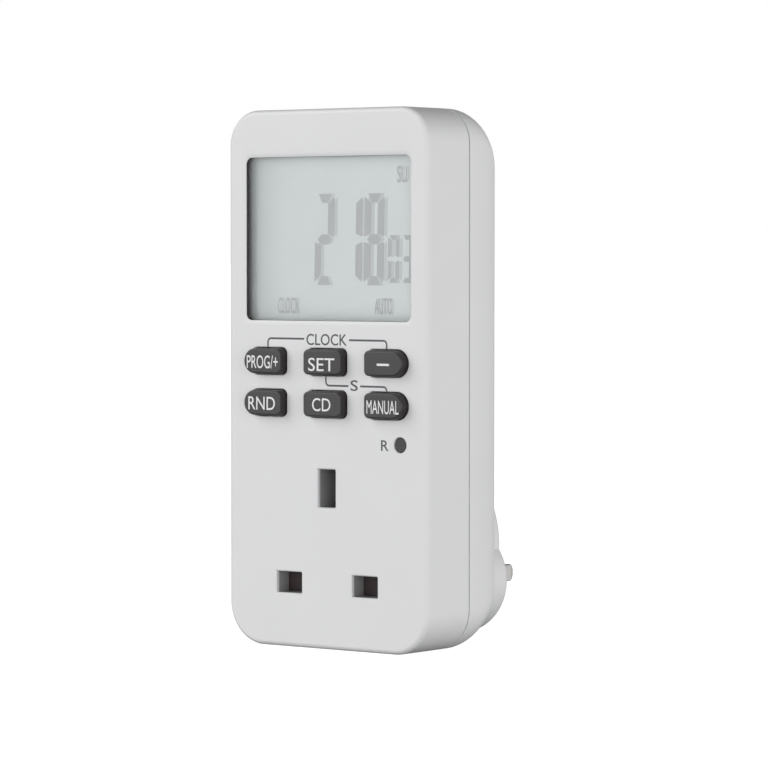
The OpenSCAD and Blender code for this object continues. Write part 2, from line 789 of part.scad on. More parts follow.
// A flat pin with a tapered tip; its root runs forward inside the case.
module plug_pin(at, size, root, tip, taper) {
    y0 = case_depth + boss_h;
    intersection() {
        slab([at[0] - size[0] / 2, at[0] + size[0] / 2], [at[1] - size[1] / 2, at[1] + size[1] / 2],
            [root, tip]);
        translate([at[0], front_y, at[1] - size[1]]) linear_extrude(2 * size[1])
            polygon([[-size[0] / 2, root], [size[0] / 2, root], [size[0] / 2, tip - taper],
                [size[0] / 2 - taper, tip], [-size[0] / 2 + taper, tip],
                [-size[0] / 2, tip - taper]]);
        translate([at[0] - size[0], front_y, at[1]]) rotate([90, 0, 90])
            linear_extrude(2 * size[0])
            polygon([[root, -size[1] / 2], [root, size[1] / 2], [tip - taper, size[1] / 2],
                [tip, size[1] / 2 - taper], [tip, -size[1] / 2 + taper],
                [tip - taper, -size[1] / 2]]);
    }
}

sleeve_l = 9.5;
sleeve_t = 0.35;

module line_pin(x, root) {
    boss_face = case_depth + boss_h;
    color(nickel) {
        difference() {
            plug_pin([x, 0], pin_size, root, pin_tip_depth, 1.1);
            difference() {
                slab([x - 5, x + 5], [-4, 4], [boss_face, boss_face + sleeve_l]);
                slab([x - pin_size[0] / 2 + sleeve_t, x + pin_size[0] / 2 - sleeve_t],
                    [-pin_size[1] / 2 + sleeve_t, pin_size[1] / 2 - sleeve_t],
                    [boss_face - eps, boss_face + sleeve_l + eps]);
            }
        }
        slab([x - 4.2, x + 4.2], [-3, 3], [25.5, 28]);
    }
}

module live_pin() { line_pin(pin_x, 21); }

module neutral_pin() { line_pin(-pin_x, 18.8); }

module earth_pin() {
    color(nickel) {
        plug_pin([0, earth_z], earth_pin_size, 23.8, earth_tip_depth, 1.3);
        slab([-3.2, 3.2], [earth_z - 5, earth_z + 5], [25.5, 28]);
    }
}

module pin_sleeves() {
    boss_face = case_depth + boss_h;
    color(charcoal) for (s = [-1, 1]) translate([s * pin_x, 0, 0]) difference() {
        slab([-pin_size[0] / 2, pin_size[0] / 2], [-pin_size[1] / 2, pin_size[1] / 2],
            [boss_face, boss_face + sleeve_l]);
        slab([-pin_size[0] / 2 + sleeve_t, pin_size[0] / 2 - sleeve_t],
            [-pin_size[1] / 2 + sleeve_t, pin_size[1] / 2 - sleeve_t],
            [boss_face - eps, boss_face + sleeve_l + eps]);
    }
}

// Moulded plate in the boss that clamps the pins' shoulders
module pin_retainer() {
    color([0.88, 0.88, 0.86]) difference() {
        union() {
            slab([-17, 17], [-4.6, 8.5], [28, case_depth + boss_h - 2.5]);
            slab([-6, 6], [8, 28.4], [28, case_depth + boss_h - 2.5]);
        }
        pin_slots(0.05, 27, case_depth + boss_h);
        rod(case_posts[4], 4.1, [27, case_depth + boss_h]);
    }
}

module supply_wires() {
    color([0.45, 0.25, 0.12]) {
        wire([[12.5, 23.4, 3.15], [17.9, 23.4, 9], [17.9, 23.4, 28], [14, 23.05, 36]], 1.1);
        wire([[13.5, 20, 1], [17.9, 19.4, 8], [17.9, 19.4, 30], [17.5, 23.05, 38]], 1.1);
    }
    color([0.15, 0.3, 0.65])
        wire([[-12.5, 23.4, 3.15], [-17.9, 23.4, 9], [-17.9, 23.4, 28], [-13, 23.05, 37]], 1.1);
}

front_case();
rear_case();
display_lens();
lens_gasket();
lcd_panel();
lcd_reflector();
lcd_connectors();
lcd_holder();
program_key();
set_key();
minus_key();
random_key();
countdown_key();
manual_key();
program_plunger();
set_plunger();
minus_plunger();
random_plunger();
countdown_plunger();
manual_plunger();
reset_button();
key_switches();
reset_switch();
control_board();
controller_chip();
clock_crystal();
backup_cell();
cell_tabs();
control_parts();
board_header();
power_board();
relay_base();
relay_cover();
relay_bobbin();
relay_winding();
relay_frame();
relay_armature();
relay_contacts();
dropper_capacitor();
smoothing_capacitor();
surge_varistor();
board_fuse();
rectifier_diodes();
board_resistors();
relay_transistor();
socket_carrier();
contact_housing();
shutter();
shutter_spring();
live_contact();
neutral_contact();
earth_contact();
live_pin();
neutral_pin();
earth_pin();
pin_sleeves();
pin_retainer();
supply_wires();
case_screws();
board_screws();
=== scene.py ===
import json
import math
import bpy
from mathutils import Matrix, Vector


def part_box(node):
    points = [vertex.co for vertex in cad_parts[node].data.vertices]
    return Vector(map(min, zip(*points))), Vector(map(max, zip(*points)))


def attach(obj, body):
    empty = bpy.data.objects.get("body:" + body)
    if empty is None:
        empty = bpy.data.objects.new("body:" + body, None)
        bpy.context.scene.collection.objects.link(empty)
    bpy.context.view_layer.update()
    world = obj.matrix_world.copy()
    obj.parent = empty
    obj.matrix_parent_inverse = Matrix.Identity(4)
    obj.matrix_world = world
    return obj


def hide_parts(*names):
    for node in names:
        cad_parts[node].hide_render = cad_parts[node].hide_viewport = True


bl_info = {
    "name": "Programmable Timer",
    "version": (1, 0, 0),
    "blender": (4, 5, 0),
    "location": "3D View > Sidebar > Timer",
    "description": "Models a plug-through programmable timer and its studio",
    "category": "Object",
}

import bmesh
import bpy
from mathutils import Vector

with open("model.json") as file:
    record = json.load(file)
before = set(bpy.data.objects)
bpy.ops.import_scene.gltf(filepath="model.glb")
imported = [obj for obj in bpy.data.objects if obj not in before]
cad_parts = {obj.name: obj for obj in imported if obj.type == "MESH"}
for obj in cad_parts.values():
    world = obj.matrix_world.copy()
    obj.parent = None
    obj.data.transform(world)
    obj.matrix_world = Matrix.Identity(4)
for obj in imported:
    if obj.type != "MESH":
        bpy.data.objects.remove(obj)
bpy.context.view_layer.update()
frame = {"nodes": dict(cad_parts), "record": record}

MM = 0.001
CASE_LOW, CASE_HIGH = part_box("front_case")
CASE_X, CASE_Z = (CASE_LOW.x, CASE_HIGH.x), (CASE_LOW.z, CASE_HIGH.z)
FRONT = CASE_LOW.y
BOSS_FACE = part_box("rear_case")[1].y - FRONT
WINDOW_LOW, WINDOW_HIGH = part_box("lens_gasket")
WINDOW_X, WINDOW_Z = (WINDOW_LOW.x, WINDOW_HIGH.x), (WINDOW_LOW.z, WINDOW_HIGH.z)
LCD_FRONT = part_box("lcd_panel")[0].y - FRONT
AXES = {"x": 0, "y": 1, "z": 2}


# ---------- Properties ----------


def length(name, description, default):
    return bpy.props.FloatProperty(
        name=name, description=description, default=default, unit="LENGTH", precision=4)


def colour(name, description, default):
    return bpy.props.FloatVectorProperty(
        name=name, description=description, default=default, subtype="COLOR",
        min=0.0, max=1.0)


class TimerShellSizes(bpy.types.PropertyGroup):
    """Sizes of the two shells"""

    split: length("Parting line", "Depth of the front shell's back edge", 0.0158)
    groove: length("Groove", "Width of the groove between the shells", 0.0004)
    depth: length("Depth", "Depth of the case without its plug boss", 0.029)
    wall: length("Wall", "Wall thickness", 0.002)
    corner: length("Corner", "Radius of the upper corners seen from the front", 0.0082)
    low_corner: length("Low corner", "Radius of the lower corners seen from the front", 0.0098)
    front_edge: length("Front edge", "Radius along the edge of the front face", 0.0012)
    roll_depth: length("Roll depth", "Depth over which the back rounds off", 0.011)
    roll_side: length("Roll at the sides", "How far the back draws in at each side", 0.0028)
    roll_end: length("Roll at the ends", "How far the back draws in at top and bottom", 0.012)
    back_corner: length("Back corner", "Corner radius of the back face", 0.004)
    boss_edge: length("Boss edge", "Radius along the edge of the plug boss", 0.003)


class TimerFaceSizes(bpy.types.PropertyGroup):
    """Sizes of what is on the front"""

    window_corner: length("Window corner", "Corner radius of the window", 0.0016)
    window_bevel: length("Window bevel", "Width of the bevel round the window", 0.0011)
    key_width: length("Key width", "Width of a key where it leaves the case", 0.0113)
    key_height: length("Key height", "Height of a key where it leaves the case", 0.00615)
    key_rise: length("Key rise", "How far a key stands out of the case", 0.0022)
    key_gap: length("Key gap", "Gap between a key and the case", 0.00015)
    key_corner: length("Key corner", "Radius of a key's square corners", 0.0013)
    print_proud: length("Print", "How far the printing stands out", 0.000015)


class TimerColours(bpy.types.PropertyGroup):
    """Colours of the finishes that show"""

    case: colour("Case", "Off-white of the shells", (0.79, 0.792, 0.80))
    keys: colour("Keys", "Charcoal of the keys", (0.056, 0.055, 0.056))
    legend: colour("Legend", "Grey of the printing on the case", (0.105, 0.105, 0.11))
    key_legend: colour("Key legend", "White of the printing on the keys", (0.86, 0.86, 0.87))
    lcd: colour("Display", "Silver grey of the display", (0.56, 0.583, 0.585))
    segment: colour("Segments", "Grey of the display's figures", (0.41, 0.41, 0.42))
    carrier: colour("Carrier", "Grey of the outlet's carrier", (0.34, 0.34, 0.345))


# ---------- Modelling helpers ----------

MATERIALS = {}


def deselect():
    bpy.ops.object.select_all(action="DESELECT")


def alone(obj):
    deselect()
    obj.select_set(True)
    bpy.context.view_layer.objects.active = obj


def edit(obj):
    """Open one object in edit mode with nothing selected."""
    alone(obj)
    bpy.ops.object.mode_set(mode="EDIT")
    bpy.ops.mesh.select_all(action="DESELECT")


def leave():
    bpy.ops.object.mode_set(mode="OBJECT")


def settle(obj):
    """Move the object's place, turn and scale into its mesh."""
    alone(obj)
    bpy.ops.object.transform_apply(location=True, rotation=True, scale=True)


def block(name, x, z, depth):
    """A box between two X, two Z and two depths from the front face."""
    deselect()
    middle = (sum(x) / 2, FRONT + sum(depth) / 2, sum(z) / 2)
    bpy.ops.mesh.primitive_cube_add(size=1, location=middle)
    obj = bpy.context.object
    obj.name = name
    obj.scale = (x[1] - x[0], depth[1] - depth[0], z[1] - z[0])
    settle(obj)
    return obj


def face_outwards(obj):
    """Turn every face outwards."""
    edit(obj)
    bpy.ops.mesh.select_all(action="SELECT")
    bpy.ops.mesh.normals_make_consistent(inside=False)
    leave()


def with_modifier(obj, kind, **values):
    """Add a modifier with its values and apply it."""
    alone(obj)
    bpy.ops.object.modifier_add(type=kind)
    modifier = obj.modifiers[-1]
    for name, value in values.items():
        setattr(modifier, name, value)
    bpy.ops.object.modifier_apply(modifier=modifier.name)


def round_bar(name, at, radius, depth, sides=48):
    """A round bar along the depth."""
    deselect()
    bpy.ops.mesh.primitive_cylinder_add(
        vertices=sides, radius=radius, depth=depth[1] - depth[0],
        location=(at[0], FRONT + sum(depth) / 2, at[1]), rotation=(math.pi / 2, 0, 0))
    obj = bpy.context.object
    obj.name = name
    settle(obj)
    return obj


def edges_along(axis, test=None):
    """A test for the straight edges along one axis, and through a second test on their middle."""
    index = AXES[axis]

    def fits(edge):
        along = (edge.verts[1].co - edge.verts[0].co).normalized()
        middle = (edge.verts[0].co + edge.verts[1].co) / 2
        return abs(along[index]) > 0.999 and (test is None or test(middle))

    return fits


def edges_at_depth(depth):
    """A test for the edges that lie at one depth."""

    def fits(edge):
        return all(abs(v.co.y - FRONT - depth) < 1e-6 for v in edge.verts)

    return fits


def round_edges(obj, fits, radius, segments):
    """Bevel the edges that fit."""
    edit(obj)
    bpy.ops.mesh.select_mode(type="EDGE")
    mesh = bmesh.from_edit_mesh(obj.data)
    for edge in mesh.edges:
        if fits(edge):
            edge.select = True
    bmesh.update_edit_mesh(obj.data)
    bpy.ops.mesh.bevel(
        offset=radius, offset_type="OFFSET", segments=segments, profile=0.5,
        affect="EDGES", clamp_overlap=False)
    leave()


def select_end_face(obj, toward):
    """Select the face whose normal points most along the depth, towards -1 or +1."""
    bpy.ops.mesh.select_mode(type="FACE")
    mesh = bmesh.from_edit_mesh(obj.data)
    end = max(mesh.faces, key=lambda f: (
        round(f.normal.y * toward, 2), f.calc_center_median().y * toward, f.calc_area()))
    for face in mesh.faces:
        face.select = face == end
    bmesh.update_edit_mesh(obj.data)
    return end.calc_center_median()


def push_end(obj, toward, steps):
    """Extrude the end face by each step's distance and then size it by the step's factors."""
    edit(obj)
    middle = select_end_face(obj, toward)
    for distance, wide, high in steps:
        bpy.ops.mesh.extrude_region_move(
            TRANSFORM_OT_translate={"value": (0, toward * distance, 0)})
        bpy.ops.transform.resize(value=(wide, 1, high), center_override=middle)
    leave()


def cut(obj, tool, operation="DIFFERENCE"):
    """Cut a tool out of a piece, or weld it on, and use the tool up."""
    with_modifier(obj, "BOOLEAN", object=tool, operation=operation, solver="EXACT")
    bpy.data.objects.remove(tool)


def join(pieces):
    """Make several objects one."""
    deselect()
    for piece in pieces:
        piece.select_set(True)
    bpy.context.view_layer.objects.active = pieces[0]
    if len(pieces) > 1:
        bpy.ops.object.join()
    return pieces[0]


def sheet(name, outline, depth):
    """One face with an outline of (x, z) points at a depth."""
    deselect()
    bpy.ops.mesh.primitive_circle_add(vertices=len(outline), radius=1, fill_type="NGON")
    obj = bpy.context.object
    obj.name = name
    for vertex, (x, z) in zip(obj.data.vertices, outline):
        vertex.co = (x, FRONT + depth, z)
    return obj


def plate(name, outline, depth):
    """A flat closed plate with an outline of (x, z) points, between two depths."""
    obj = sheet(name, outline, depth[0])
    edit(obj)
    bpy.ops.mesh.select_all(action="SELECT")
    bpy.ops.mesh.extrude_region_move(
        TRANSFORM_OT_translate={"value": (0, depth[1] - depth[0], 0)})
    leave()
    face_outwards(obj)
    return obj


def loft(name, rings):
    """A closed form drawn through rings, each a depth and its outline of (x, z) points."""
    start, outline = rings[0]
    obj = sheet(name, outline, start)
    place = obj.data.attributes.new("place", "INT", "POINT")
    for number, mark in enumerate(place.data):
        mark.value = number
    edit(obj)
    bpy.ops.mesh.select_all(action="SELECT")
    for depth, outline in rings[1:]:
        bpy.ops.mesh.extrude_region_move(TRANSFORM_OT_translate={"value": (0, 0, 0)})
        mesh = bmesh.from_edit_mesh(obj.data)
        number = mesh.verts.layers.int["place"]
        for vertex in mesh.verts:
            if vertex.select:
                x, z = outline[vertex[number]]
                vertex.co = (x, FRONT + depth, z)
        bmesh.update_edit_mesh(obj.data)
    leave()
    face_outwards(obj)
    obj.data.attributes.remove(obj.data.attributes["place"])
    return obj


def arc(at, radius, start, end, steps):
    """Points on an arc between two angles in degrees."""
    turns = [math.radians(start + (end - start) * i / steps) for i in range(steps + 1)]
    return [(at[0] + radius * math.cos(t), at[1] + radius * math.sin(t)) for t in turns]


def rounded_outline(x, z, radii, steps=8):
    """A rounded rectangle between two X and two Z, with its upper and its lower radius."""
    points = []
    for quarter, (px, pz) in enumerate([(1, 1), (0, 1), (0, 0), (1, 0)]):
        radius = radii[0] if pz else radii[1]
        at = (x[px] + (-radius if px else radius), z[pz] + (-radius if pz else radius))
        points += arc(at, radius, 90 * quarter, 90 * quarter + 90, steps)
    return points


def smooth(obj, angle):
    """Shade round surfaces smooth and keep flat ones flat."""
    alone(obj)
    bpy.ops.object.shade_smooth_by_angle(angle=math.radians(angle))
    with_modifier(obj, "WEIGHTED_NORMAL", keep_sharp=True, weight=100)


def hand_over(obj, name, body, slot, stands_for=(), finish=None, angle=32):
    """Name, shade and paint a finished piece, and put it on its body."""
    obj.name = name
    obj.data.name = name
    smooth(obj, angle)
    obj.data.materials.clear()
    obj.data.materials.append(MATERIALS[finish or slot])
    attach(obj, body)
    if stands_for:
        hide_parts(*stands_for)
    return obj


# ---------- Materials ----------


class Tree:
    """A shader's node tree, with short ways to add and link nodes."""

    def __init__(self, tree):
        self.tree = tree

    def node(self, kind, **values):
        """A node, with values for its sockets."""
        made = self.tree.nodes.new("ShaderNode" + kind)
        for socket, value in values.items():
            made.inputs[socket.replace("_", " ")].default_value = value
        return made

    def link(self, source, *targets):
        for target in targets:
            self.tree.links.new(source, target)

    def fill(self, sockets, values):
        """Link or set each socket, as its value is another socket or a number."""
        for socket, value in zip(sockets, values):
            if isinstance(value, bpy.types.NodeSocket):
                self.link(value, socket)
            else:
                socket.default_value = value

    def math(self, operation, *values):
        """The result of a sum on sockets and numbers."""
        made = self.node("Math")
        made.operation = operation
        self.fill(made.inputs, values)
        return made.outputs[0]

    def between(self, source, low, high, start=0.3, end=0.7):
        """A value from low to high as the source goes from start to end."""
        span = self.node("MapRange", From_Min=start, From_Max=end, To_Min=low, To_Max=high)
        self.link(source, span.inputs["Value"])
        return span.outputs["Result"]


def shared_group(name, build, inputs, outputs):
    """A shader node group over a place, built once. Its inputs have default values."""
    found = bpy.data.node_groups.get(name)
    if found:
        return found
    group = bpy.data.node_groups.new(name, "ShaderNodeTree")

    def socket(label, way, kind="NodeSocketFloat"):
        return group.interface.new_socket(name=label, in_out=way, socket_type=kind)

    socket("Vector", "INPUT", "NodeSocketVector")
    for label, value in inputs.items():
        kind = "NodeSocketVector" if isinstance(value, tuple) else "NodeSocketFloat"
        socket(label, "INPUT", kind).default_value = value
    for label in outputs:
        socket(label, "OUTPUT")
    start = group.nodes.new("NodeGroupInput").outputs
    end = group.nodes.new("NodeGroupOutput").inputs
    build(Tree(group), start, end)
    return group


def moulded_grain():
    """Fine surface texture with slow clouds, as a mould leaves on plastic."""
    clouds_per_grain = 0.012

    def build(tree, start, end):
        fine = tree.node("TexNoise", Detail=2.0)
        slow = tree.node("TexNoise", Detail=3.0)
        tree.link(start["Vector"], fine.inputs["Vector"], slow.inputs["Vector"])
        tree.link(start["Grains per metre"], fine.inputs["Scale"])
        tree.link(tree.math("MULTIPLY", start["Grains per metre"], clouds_per_grain),
                  slow.inputs["Scale"])
        tree.link(fine.outputs["Fac"], end["Grain"])
        tree.link(slow.outputs["Fac"], end["Cloud"])

    return shared_group("moulded_grain", build, {"Grains per metre": 4000.0},
                        ["Grain", "Cloud"])


def dust_film():
    """Sparse specks of dust over a surface."""

    def build(tree, start, end):
        cells = tree.node("TexVoronoi")
        patches = tree.node("TexNoise", Scale=90.0)
        tree.link(start["Vector"], cells.inputs["Vector"], patches.inputs["Vector"])
        tree.link(start["Specks per metre"], cells.inputs["Scale"])
        speck = tree.between(cells.outputs["Distance"], 0.0, 1.0, 0.10, 0.04)
        where = tree.between(patches.outputs["Fac"], 0.0, 1.0, 0.5, 0.75)
        both = tree.math("MULTIPLY", speck, where)
        tree.link(tree.math("MULTIPLY", both, start["Amount"]), end["Dust"])

    return shared_group("dust_film", build, {"Specks per metre": 900.0, "Amount": 0.3},
                        ["Dust"])


def drawn_lines():
    """Fine lines along one direction, as on drawn or rubbed metal."""

    def build(tree, start, end):
        stretch = tree.node("Mapping")
        lines = tree.node("TexNoise", Scale=1.0, Detail=4.0)
        tree.link(start["Vector"], stretch.inputs["Vector"])
        tree.link(start["Lines per metre"], stretch.inputs["Scale"])
        tree.link(stretch.outputs["Vector"], lines.inputs["Vector"])
        tree.link(lines.outputs["Fac"], end["Line"])

    return shared_group("drawn_lines", build, {"Lines per metre": (9000.0, 300.0, 9000.0)},
                        ["Line"])


class Finish(Tree):
    """One material, with its shader and the places that its textures read."""

    def __init__(self, name):
        self.name = name
        self.material = bpy.data.materials.new(name)
        self.material.use_nodes = True
        super().__init__(self.material.node_tree)
        self.shader = self.tree.nodes["Principled BSDF"]
        self.where = self.node("TexCoord").outputs["Object"]

    def group(self, tree, **values):
        """A shared group's outputs, with values for its inputs."""
        made = self.tree.nodes.new("ShaderNodeGroup")
        made.node_tree = tree
        for socket, value in values.items():
            made.inputs[socket.replace("_", " ")].default_value = value
        self.link(self.where, made.inputs["Vector"])
        return made.outputs

    def axis(self, letter):
        """The place along one axis."""
        split = self.node("SeparateXYZ")
        self.link(self.where, split.inputs[0])
        return split.outputs[letter]

    def blend(self, factor, first, second):
        """A colour between two others, as a factor socket says."""
        mix = self.node("Mix")
        mix.data_type = "RGBA"
        tones = [(*tone, 1) if isinstance(tone, tuple) else tone for tone in (first, second)]
        self.fill((mix.inputs["A"], mix.inputs["B"]), tones)
        self.link(factor, mix.inputs["Factor"])
        return mix.outputs["Result"]

    def relief(self, source, depth, strength=1.0):
        """Relief on the surface from a height of that depth."""
        bump = self.node("Bump", Strength=strength, Distance=depth)
        self.link(source, bump.inputs["Height"])
        self.link(bump.outputs["Normal"], self.shader.inputs["Normal"])

    def feed(self, socket, source):
        """Link a source to the shader's socket."""
        self.link(source, self.shader.inputs[socket])

    def fed(self, socket):
        """The source that is linked to the shader's socket."""
        return self.shader.inputs[socket].links[0].from_socket

    def set(self, **values):
        """Set the shader's plain values."""
        for socket, value in values.items():
            self.shader.inputs[socket.replace("_", " ")].default_value = value
        return self


def darker(tone, share):
    return tuple(c * share for c in tone)


def moulded(name, tone, rough, grains=4000.0, depth=0.00001, dust=0.1, cloud=0.95):
    """Moulded plastic: a base tone with slow clouds, fine grain and a little dust."""
    finish = Finish(name)
    grain = finish.group(moulded_grain(), Grains_per_metre=grains)
    film = finish.group(dust_film(), Amount=dust)
    base = finish.blend(finish.between(grain["Cloud"], 0.0, 1.0), tone, darker(tone, cloud))
    dusty = tuple(c * 0.6 + 0.28 for c in tone)
    finish.feed("Base Color", finish.blend(film["Dust"], base, dusty))
    finish.feed("Roughness", finish.between(grain["Grain"], rough - 0.05, rough + 0.06))
    finish.relief(grain["Grain"], depth)
    return finish


def metal(name, tone, rough, lines=(9000.0, 300.0, 9000.0), depth=0.000004):
    """Plated or bare metal with fine lines along one direction."""
    finish = Finish(name)
    drawn = finish.group(drawn_lines(), Lines_per_metre=lines)
    grain = finish.group(moulded_grain(), Grains_per_metre=3000.0)
    shade = finish.between(grain["Cloud"], 0.0, 1.0)
    finish.feed("Base Color", finish.blend(shade, tone, darker(tone, 0.82)))
    finish.feed("Roughness", finish.between(drawn["Line"], rough - 0.08, rough + 0.12))
    finish.relief(drawn["Line"], depth)
    return finish.set(Metallic=1.0)


def key_plastic(name, top, side):
    """Moulded keys, with a painted sheen that lightens their tops and a painted shade that makes
    their sides darker and browner, split at a set depth.
    """
    finish = moulded(name, top, 0.47, 5000.0, 0.000008, 0.05, 0.9)
    # painted shade: below this depth the keys take the darker side tone, standing in for the
    # shade down their sides
    low = finish.between(finish.axis("Y"), 0.0, 1.0, FRONT - 0.0021, FRONT - 0.0017)
    finish.feed("Base Color", finish.blend(low, finish.fed("Base Color"), side))
    return finish


def clear_window():
    """Clear moulded window with a hard gloss and hardly any haze."""
    finish = Finish("window_clear")
    grain = finish.group(moulded_grain(), Grains_per_metre=1500.0)
    finish.feed("Base Color", finish.blend(
        grain["Cloud"], (0.97, 0.98, 0.98), (0.94, 0.96, 0.96)))
    finish.relief(grain["Cloud"], 0.0000005)
    return finish.set(Roughness=0.02, IOR=1.06, Transmission_Weight=1.0, Coat_Weight=0.12,
                      Coat_Roughness=0.03)


def lcd_surface(name, tone):
    """The display's silvery sheet: even and slightly greenish, a little brighter towards the
    right, and darkened close to its left edge by a painted shadow of the window's wall.
    """
    finish = moulded(name, tone, 0.42, 9000.0, 0.000002, 0.0, 0.975)
    edge = WINDOW_X[0] + 0.001
    # painted shadow: the sheet darkens towards the window's left wall, where the wall's shadow
    # falls
    painted_wall_shadow_fade = finish.between(finish.axis("X"), 0.0, 1.0, edge, edge + 0.009)
    across = finish.between(finish.axis("X"), 0.0, 1.0, edge, WINDOW_X[1])
    bright = tuple(min(1.0, c * 1.05) for c in tone)
    full = finish.blend(across, finish.fed("Base Color"), bright)
    finish.feed("Base Color", finish.blend(
        finish.math("POWER", painted_wall_shadow_fade, 0.55), darker(tone, 0.72), full))
    return finish.set(Coat_Weight=0.25, Coat_Roughness=0.2)


def laminate(name, mask, track):
    """A circuit board: resist over tracks that run along one direction."""
    finish = Finish(name)
    bands = finish.node("TexBrick", Scale=150.0, Mortar_Size=0.012, Brick_Width=1.4,
                        Row_Height=0.19)
    turn = finish.node("Mapping", Rotation=(math.pi / 2, 0, 0))
    finish.link(finish.where, turn.inputs["Vector"])
    finish.link(turn.outputs["Vector"], bands.inputs["Vector"])
    grain = finish.group(moulded_grain(), Grains_per_metre=2500.0)
    tracked = finish.blend(bands.outputs["Fac"], mask, track)
    finish.feed("Base Color", finish.blend(
        finish.between(grain["Cloud"], 0.0, 0.25), tracked, darker(mask, 0.6)))
    finish.feed("Roughness", finish.between(grain["Grain"], 0.28, 0.4))
    finish.relief(bands.outputs["Fac"], 0.00002, 0.5)
    return finish


def make_materials():
    """Every finish by its slot's name, and the printing's and the display's own."""
    chosen = bpy.context.scene.timer_colours
    case, keys, legend, key_legend, lcd, segment, carrier = (
        tuple(getattr(chosen, name)) for name in (
            "case", "keys", "legend", "key_legend", "lcd", "segment", "carrier"))
    faint = tuple((s + c) / 2 for s, c in zip(segment, lcd))
    made = [
        moulded("case_white", case, 0.44, 5200.0, 0.000006, 0.0, 0.985),
        clear_window(),
        moulded("black_plastic", (0.046, 0.031, 0.032), 0.6, dust=0.2),
        lcd_surface("lcd_glass", lcd),
        moulded("connector_rubber", (0.24, 0.24, 0.27), 0.7, 2500.0),
        # the second tone is the painted shade down the keys' sides
        key_plastic("key_grey", keys, (0.022, 0.015, 0.016)),
        moulded("plunger_black", (0.05, 0.05, 0.05), 0.4),
        laminate("control_laminate", (0.02, 0.13, 0.05), (0.05, 0.24, 0.1)),
        laminate("power_laminate", (0.40, 0.26, 0.11), (0.52, 0.36, 0.18)),
        moulded("component_black", (0.028, 0.028, 0.03), 0.5, 6000.0),
        moulded("component_tan", (0.44, 0.34, 0.18), 0.45, 3000.0),
        moulded("component_blue", (0.05, 0.13, 0.36), 0.25, 1500.0),
        moulded("natural_nylon", (0.76, 0.73, 0.64), 0.5, 3000.0),
        moulded("carrier_grey", carrier, 0.55, 4200.0, cloud=0.8),
        metal("copper_wire", (0.66, 0.28, 0.13), 0.35, (300.0, 300.0, 5200.0), 0.00003),
        metal("steel", (0.50, 0.51, 0.53), 0.34, (1200.0, 7000.0, 1200.0)),
        metal("contact_brass", (0.72, 0.52, 0.23), 0.33),
        metal("pin_nickel", (0.50, 0.49, 0.475), 0.42),
        moulded("sleeve_black", (0.025, 0.025, 0.026), 0.42, 3500.0),
        moulded("wire_brown", (0.20, 0.08, 0.03), 0.35, 2000.0),
        moulded("reset_grey", keys, 0.5, 5000.0, dust=0.05, cloud=0.9),
        moulded("case_print", legend, 0.5, 6000.0, dust=0.0, cloud=0.9),
        moulded("key_print", key_legend, 0.5, 6000.0, dust=0.0, cloud=0.97),
        moulded("segment_ink", segment, 0.45, 8000.0, dust=0.0, cloud=0.96),
        # segment_shade is the tone of the painted shadows behind the display's figures
        moulded("segment_shade", faint, 0.45, 8000.0, dust=0.0, cloud=0.97),
        # wall_shade is the painted shade on the window's wall
        moulded("wall_shade", (0.17, 0.17, 0.172), 0.6, 6000.0, dust=0.0),
    ]
    return {finish.name: finish.material for finish in made}


# ---------- Shells ----------

CASE_POSTS = [(-20, 104.8), (20, 104.8), (-23.2, 27.5), (23.2, 27.5), (0, -6.5)]
CONTROL_POSTS = [(-8.62, 46.6), (9.12, 46.6), (-22.5, 34.2), (12, 34.2)]
POWER_POSTS = [(-21, 37.5), (21, 37.5), (-21, 96), (21, 96)]
KEYS = [
    ("program_key", "PROG/+"), ("set_key", "SET"), ("minus_key", "-"),
    ("random_key", "RND"), ("countdown_key", "CD"), ("manual_key", "MANUAL"),
]
APERTURES = [((-14.86, -7.36), (-2.5, 2.5)), ((7.36, 14.86), (-2.5, 2.5)),
             ((-2.6, 2.6), (17.78, 26.68))]
SCREW_SEAT = 22 * MM
POST_SPLIT = 20 * MM
POST_END = 2.6 * MM
BROKEN_EDGE = 0.05 * MM


def in_metres(place):
    return tuple(value * MM for value in place)


def shrunk(span, by):
    return (span[0] + by, span[1] - by)


def grown(x, z, by):
    """Factors that size a form with these spans so that each side moves out."""
    return 1 + 2 * by / (x[1] - x[0]), 1 + 2 * by / (z[1] - z[0])


def centre_of(node):
    """The middle of a part, seen from the front."""
    low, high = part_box(node)
    return (low.x + high.x) / 2, (low.z + high.z) / 2


def rounded_block(name, x, z, depth, radius, segments=12, low=None):
    """A box whose edges along the depth are rounded, the lower ones perhaps by more."""
    obj = block(name, x, z, depth)
    middle = sum(z) / 2
    round_edges(obj, edges_along("y", lambda at: at.z > middle), radius, segments)
    round_edges(obj, edges_along("y", lambda at: at.z < middle), low or radius, segments)
    return obj


def case_block(name, inset, depth, segments=12):
    """A rounded block that follows the case's outline at an inset."""
    sizes = bpy.context.scene.timer_shells
    return rounded_block(name, shrunk(CASE_X, inset), shrunk(CASE_Z, inset), depth,
                         sizes.corner - inset, segments, sizes.low_corner - inset)


def flared(tool, x, z, flare, depth, lead=1 * MM):
    """Widen a cutting tool towards the front, so that its hole gets a bevelled rim."""
    push_end(tool, -1, [(depth, *grown(x, z, flare)), (lead, 1, 1)])
    return tool


def spans(centre, wide, tall):
    """A form's spans across and up, from its centre and size."""
    return ((centre[0] - wide / 2, centre[0] + wide / 2),
            (centre[1] - tall / 2, centre[1] + tall / 2))


def key_ends(column):
    """Radii of a key's left and right ends: the outer ends of a row are round."""
    face = bpy.context.scene.timer_face
    round_end = face.key_height * 0.499
    return [(round_end, face.key_corner), (face.key_corner,) * 2,
            (face.key_corner, round_end)][column]


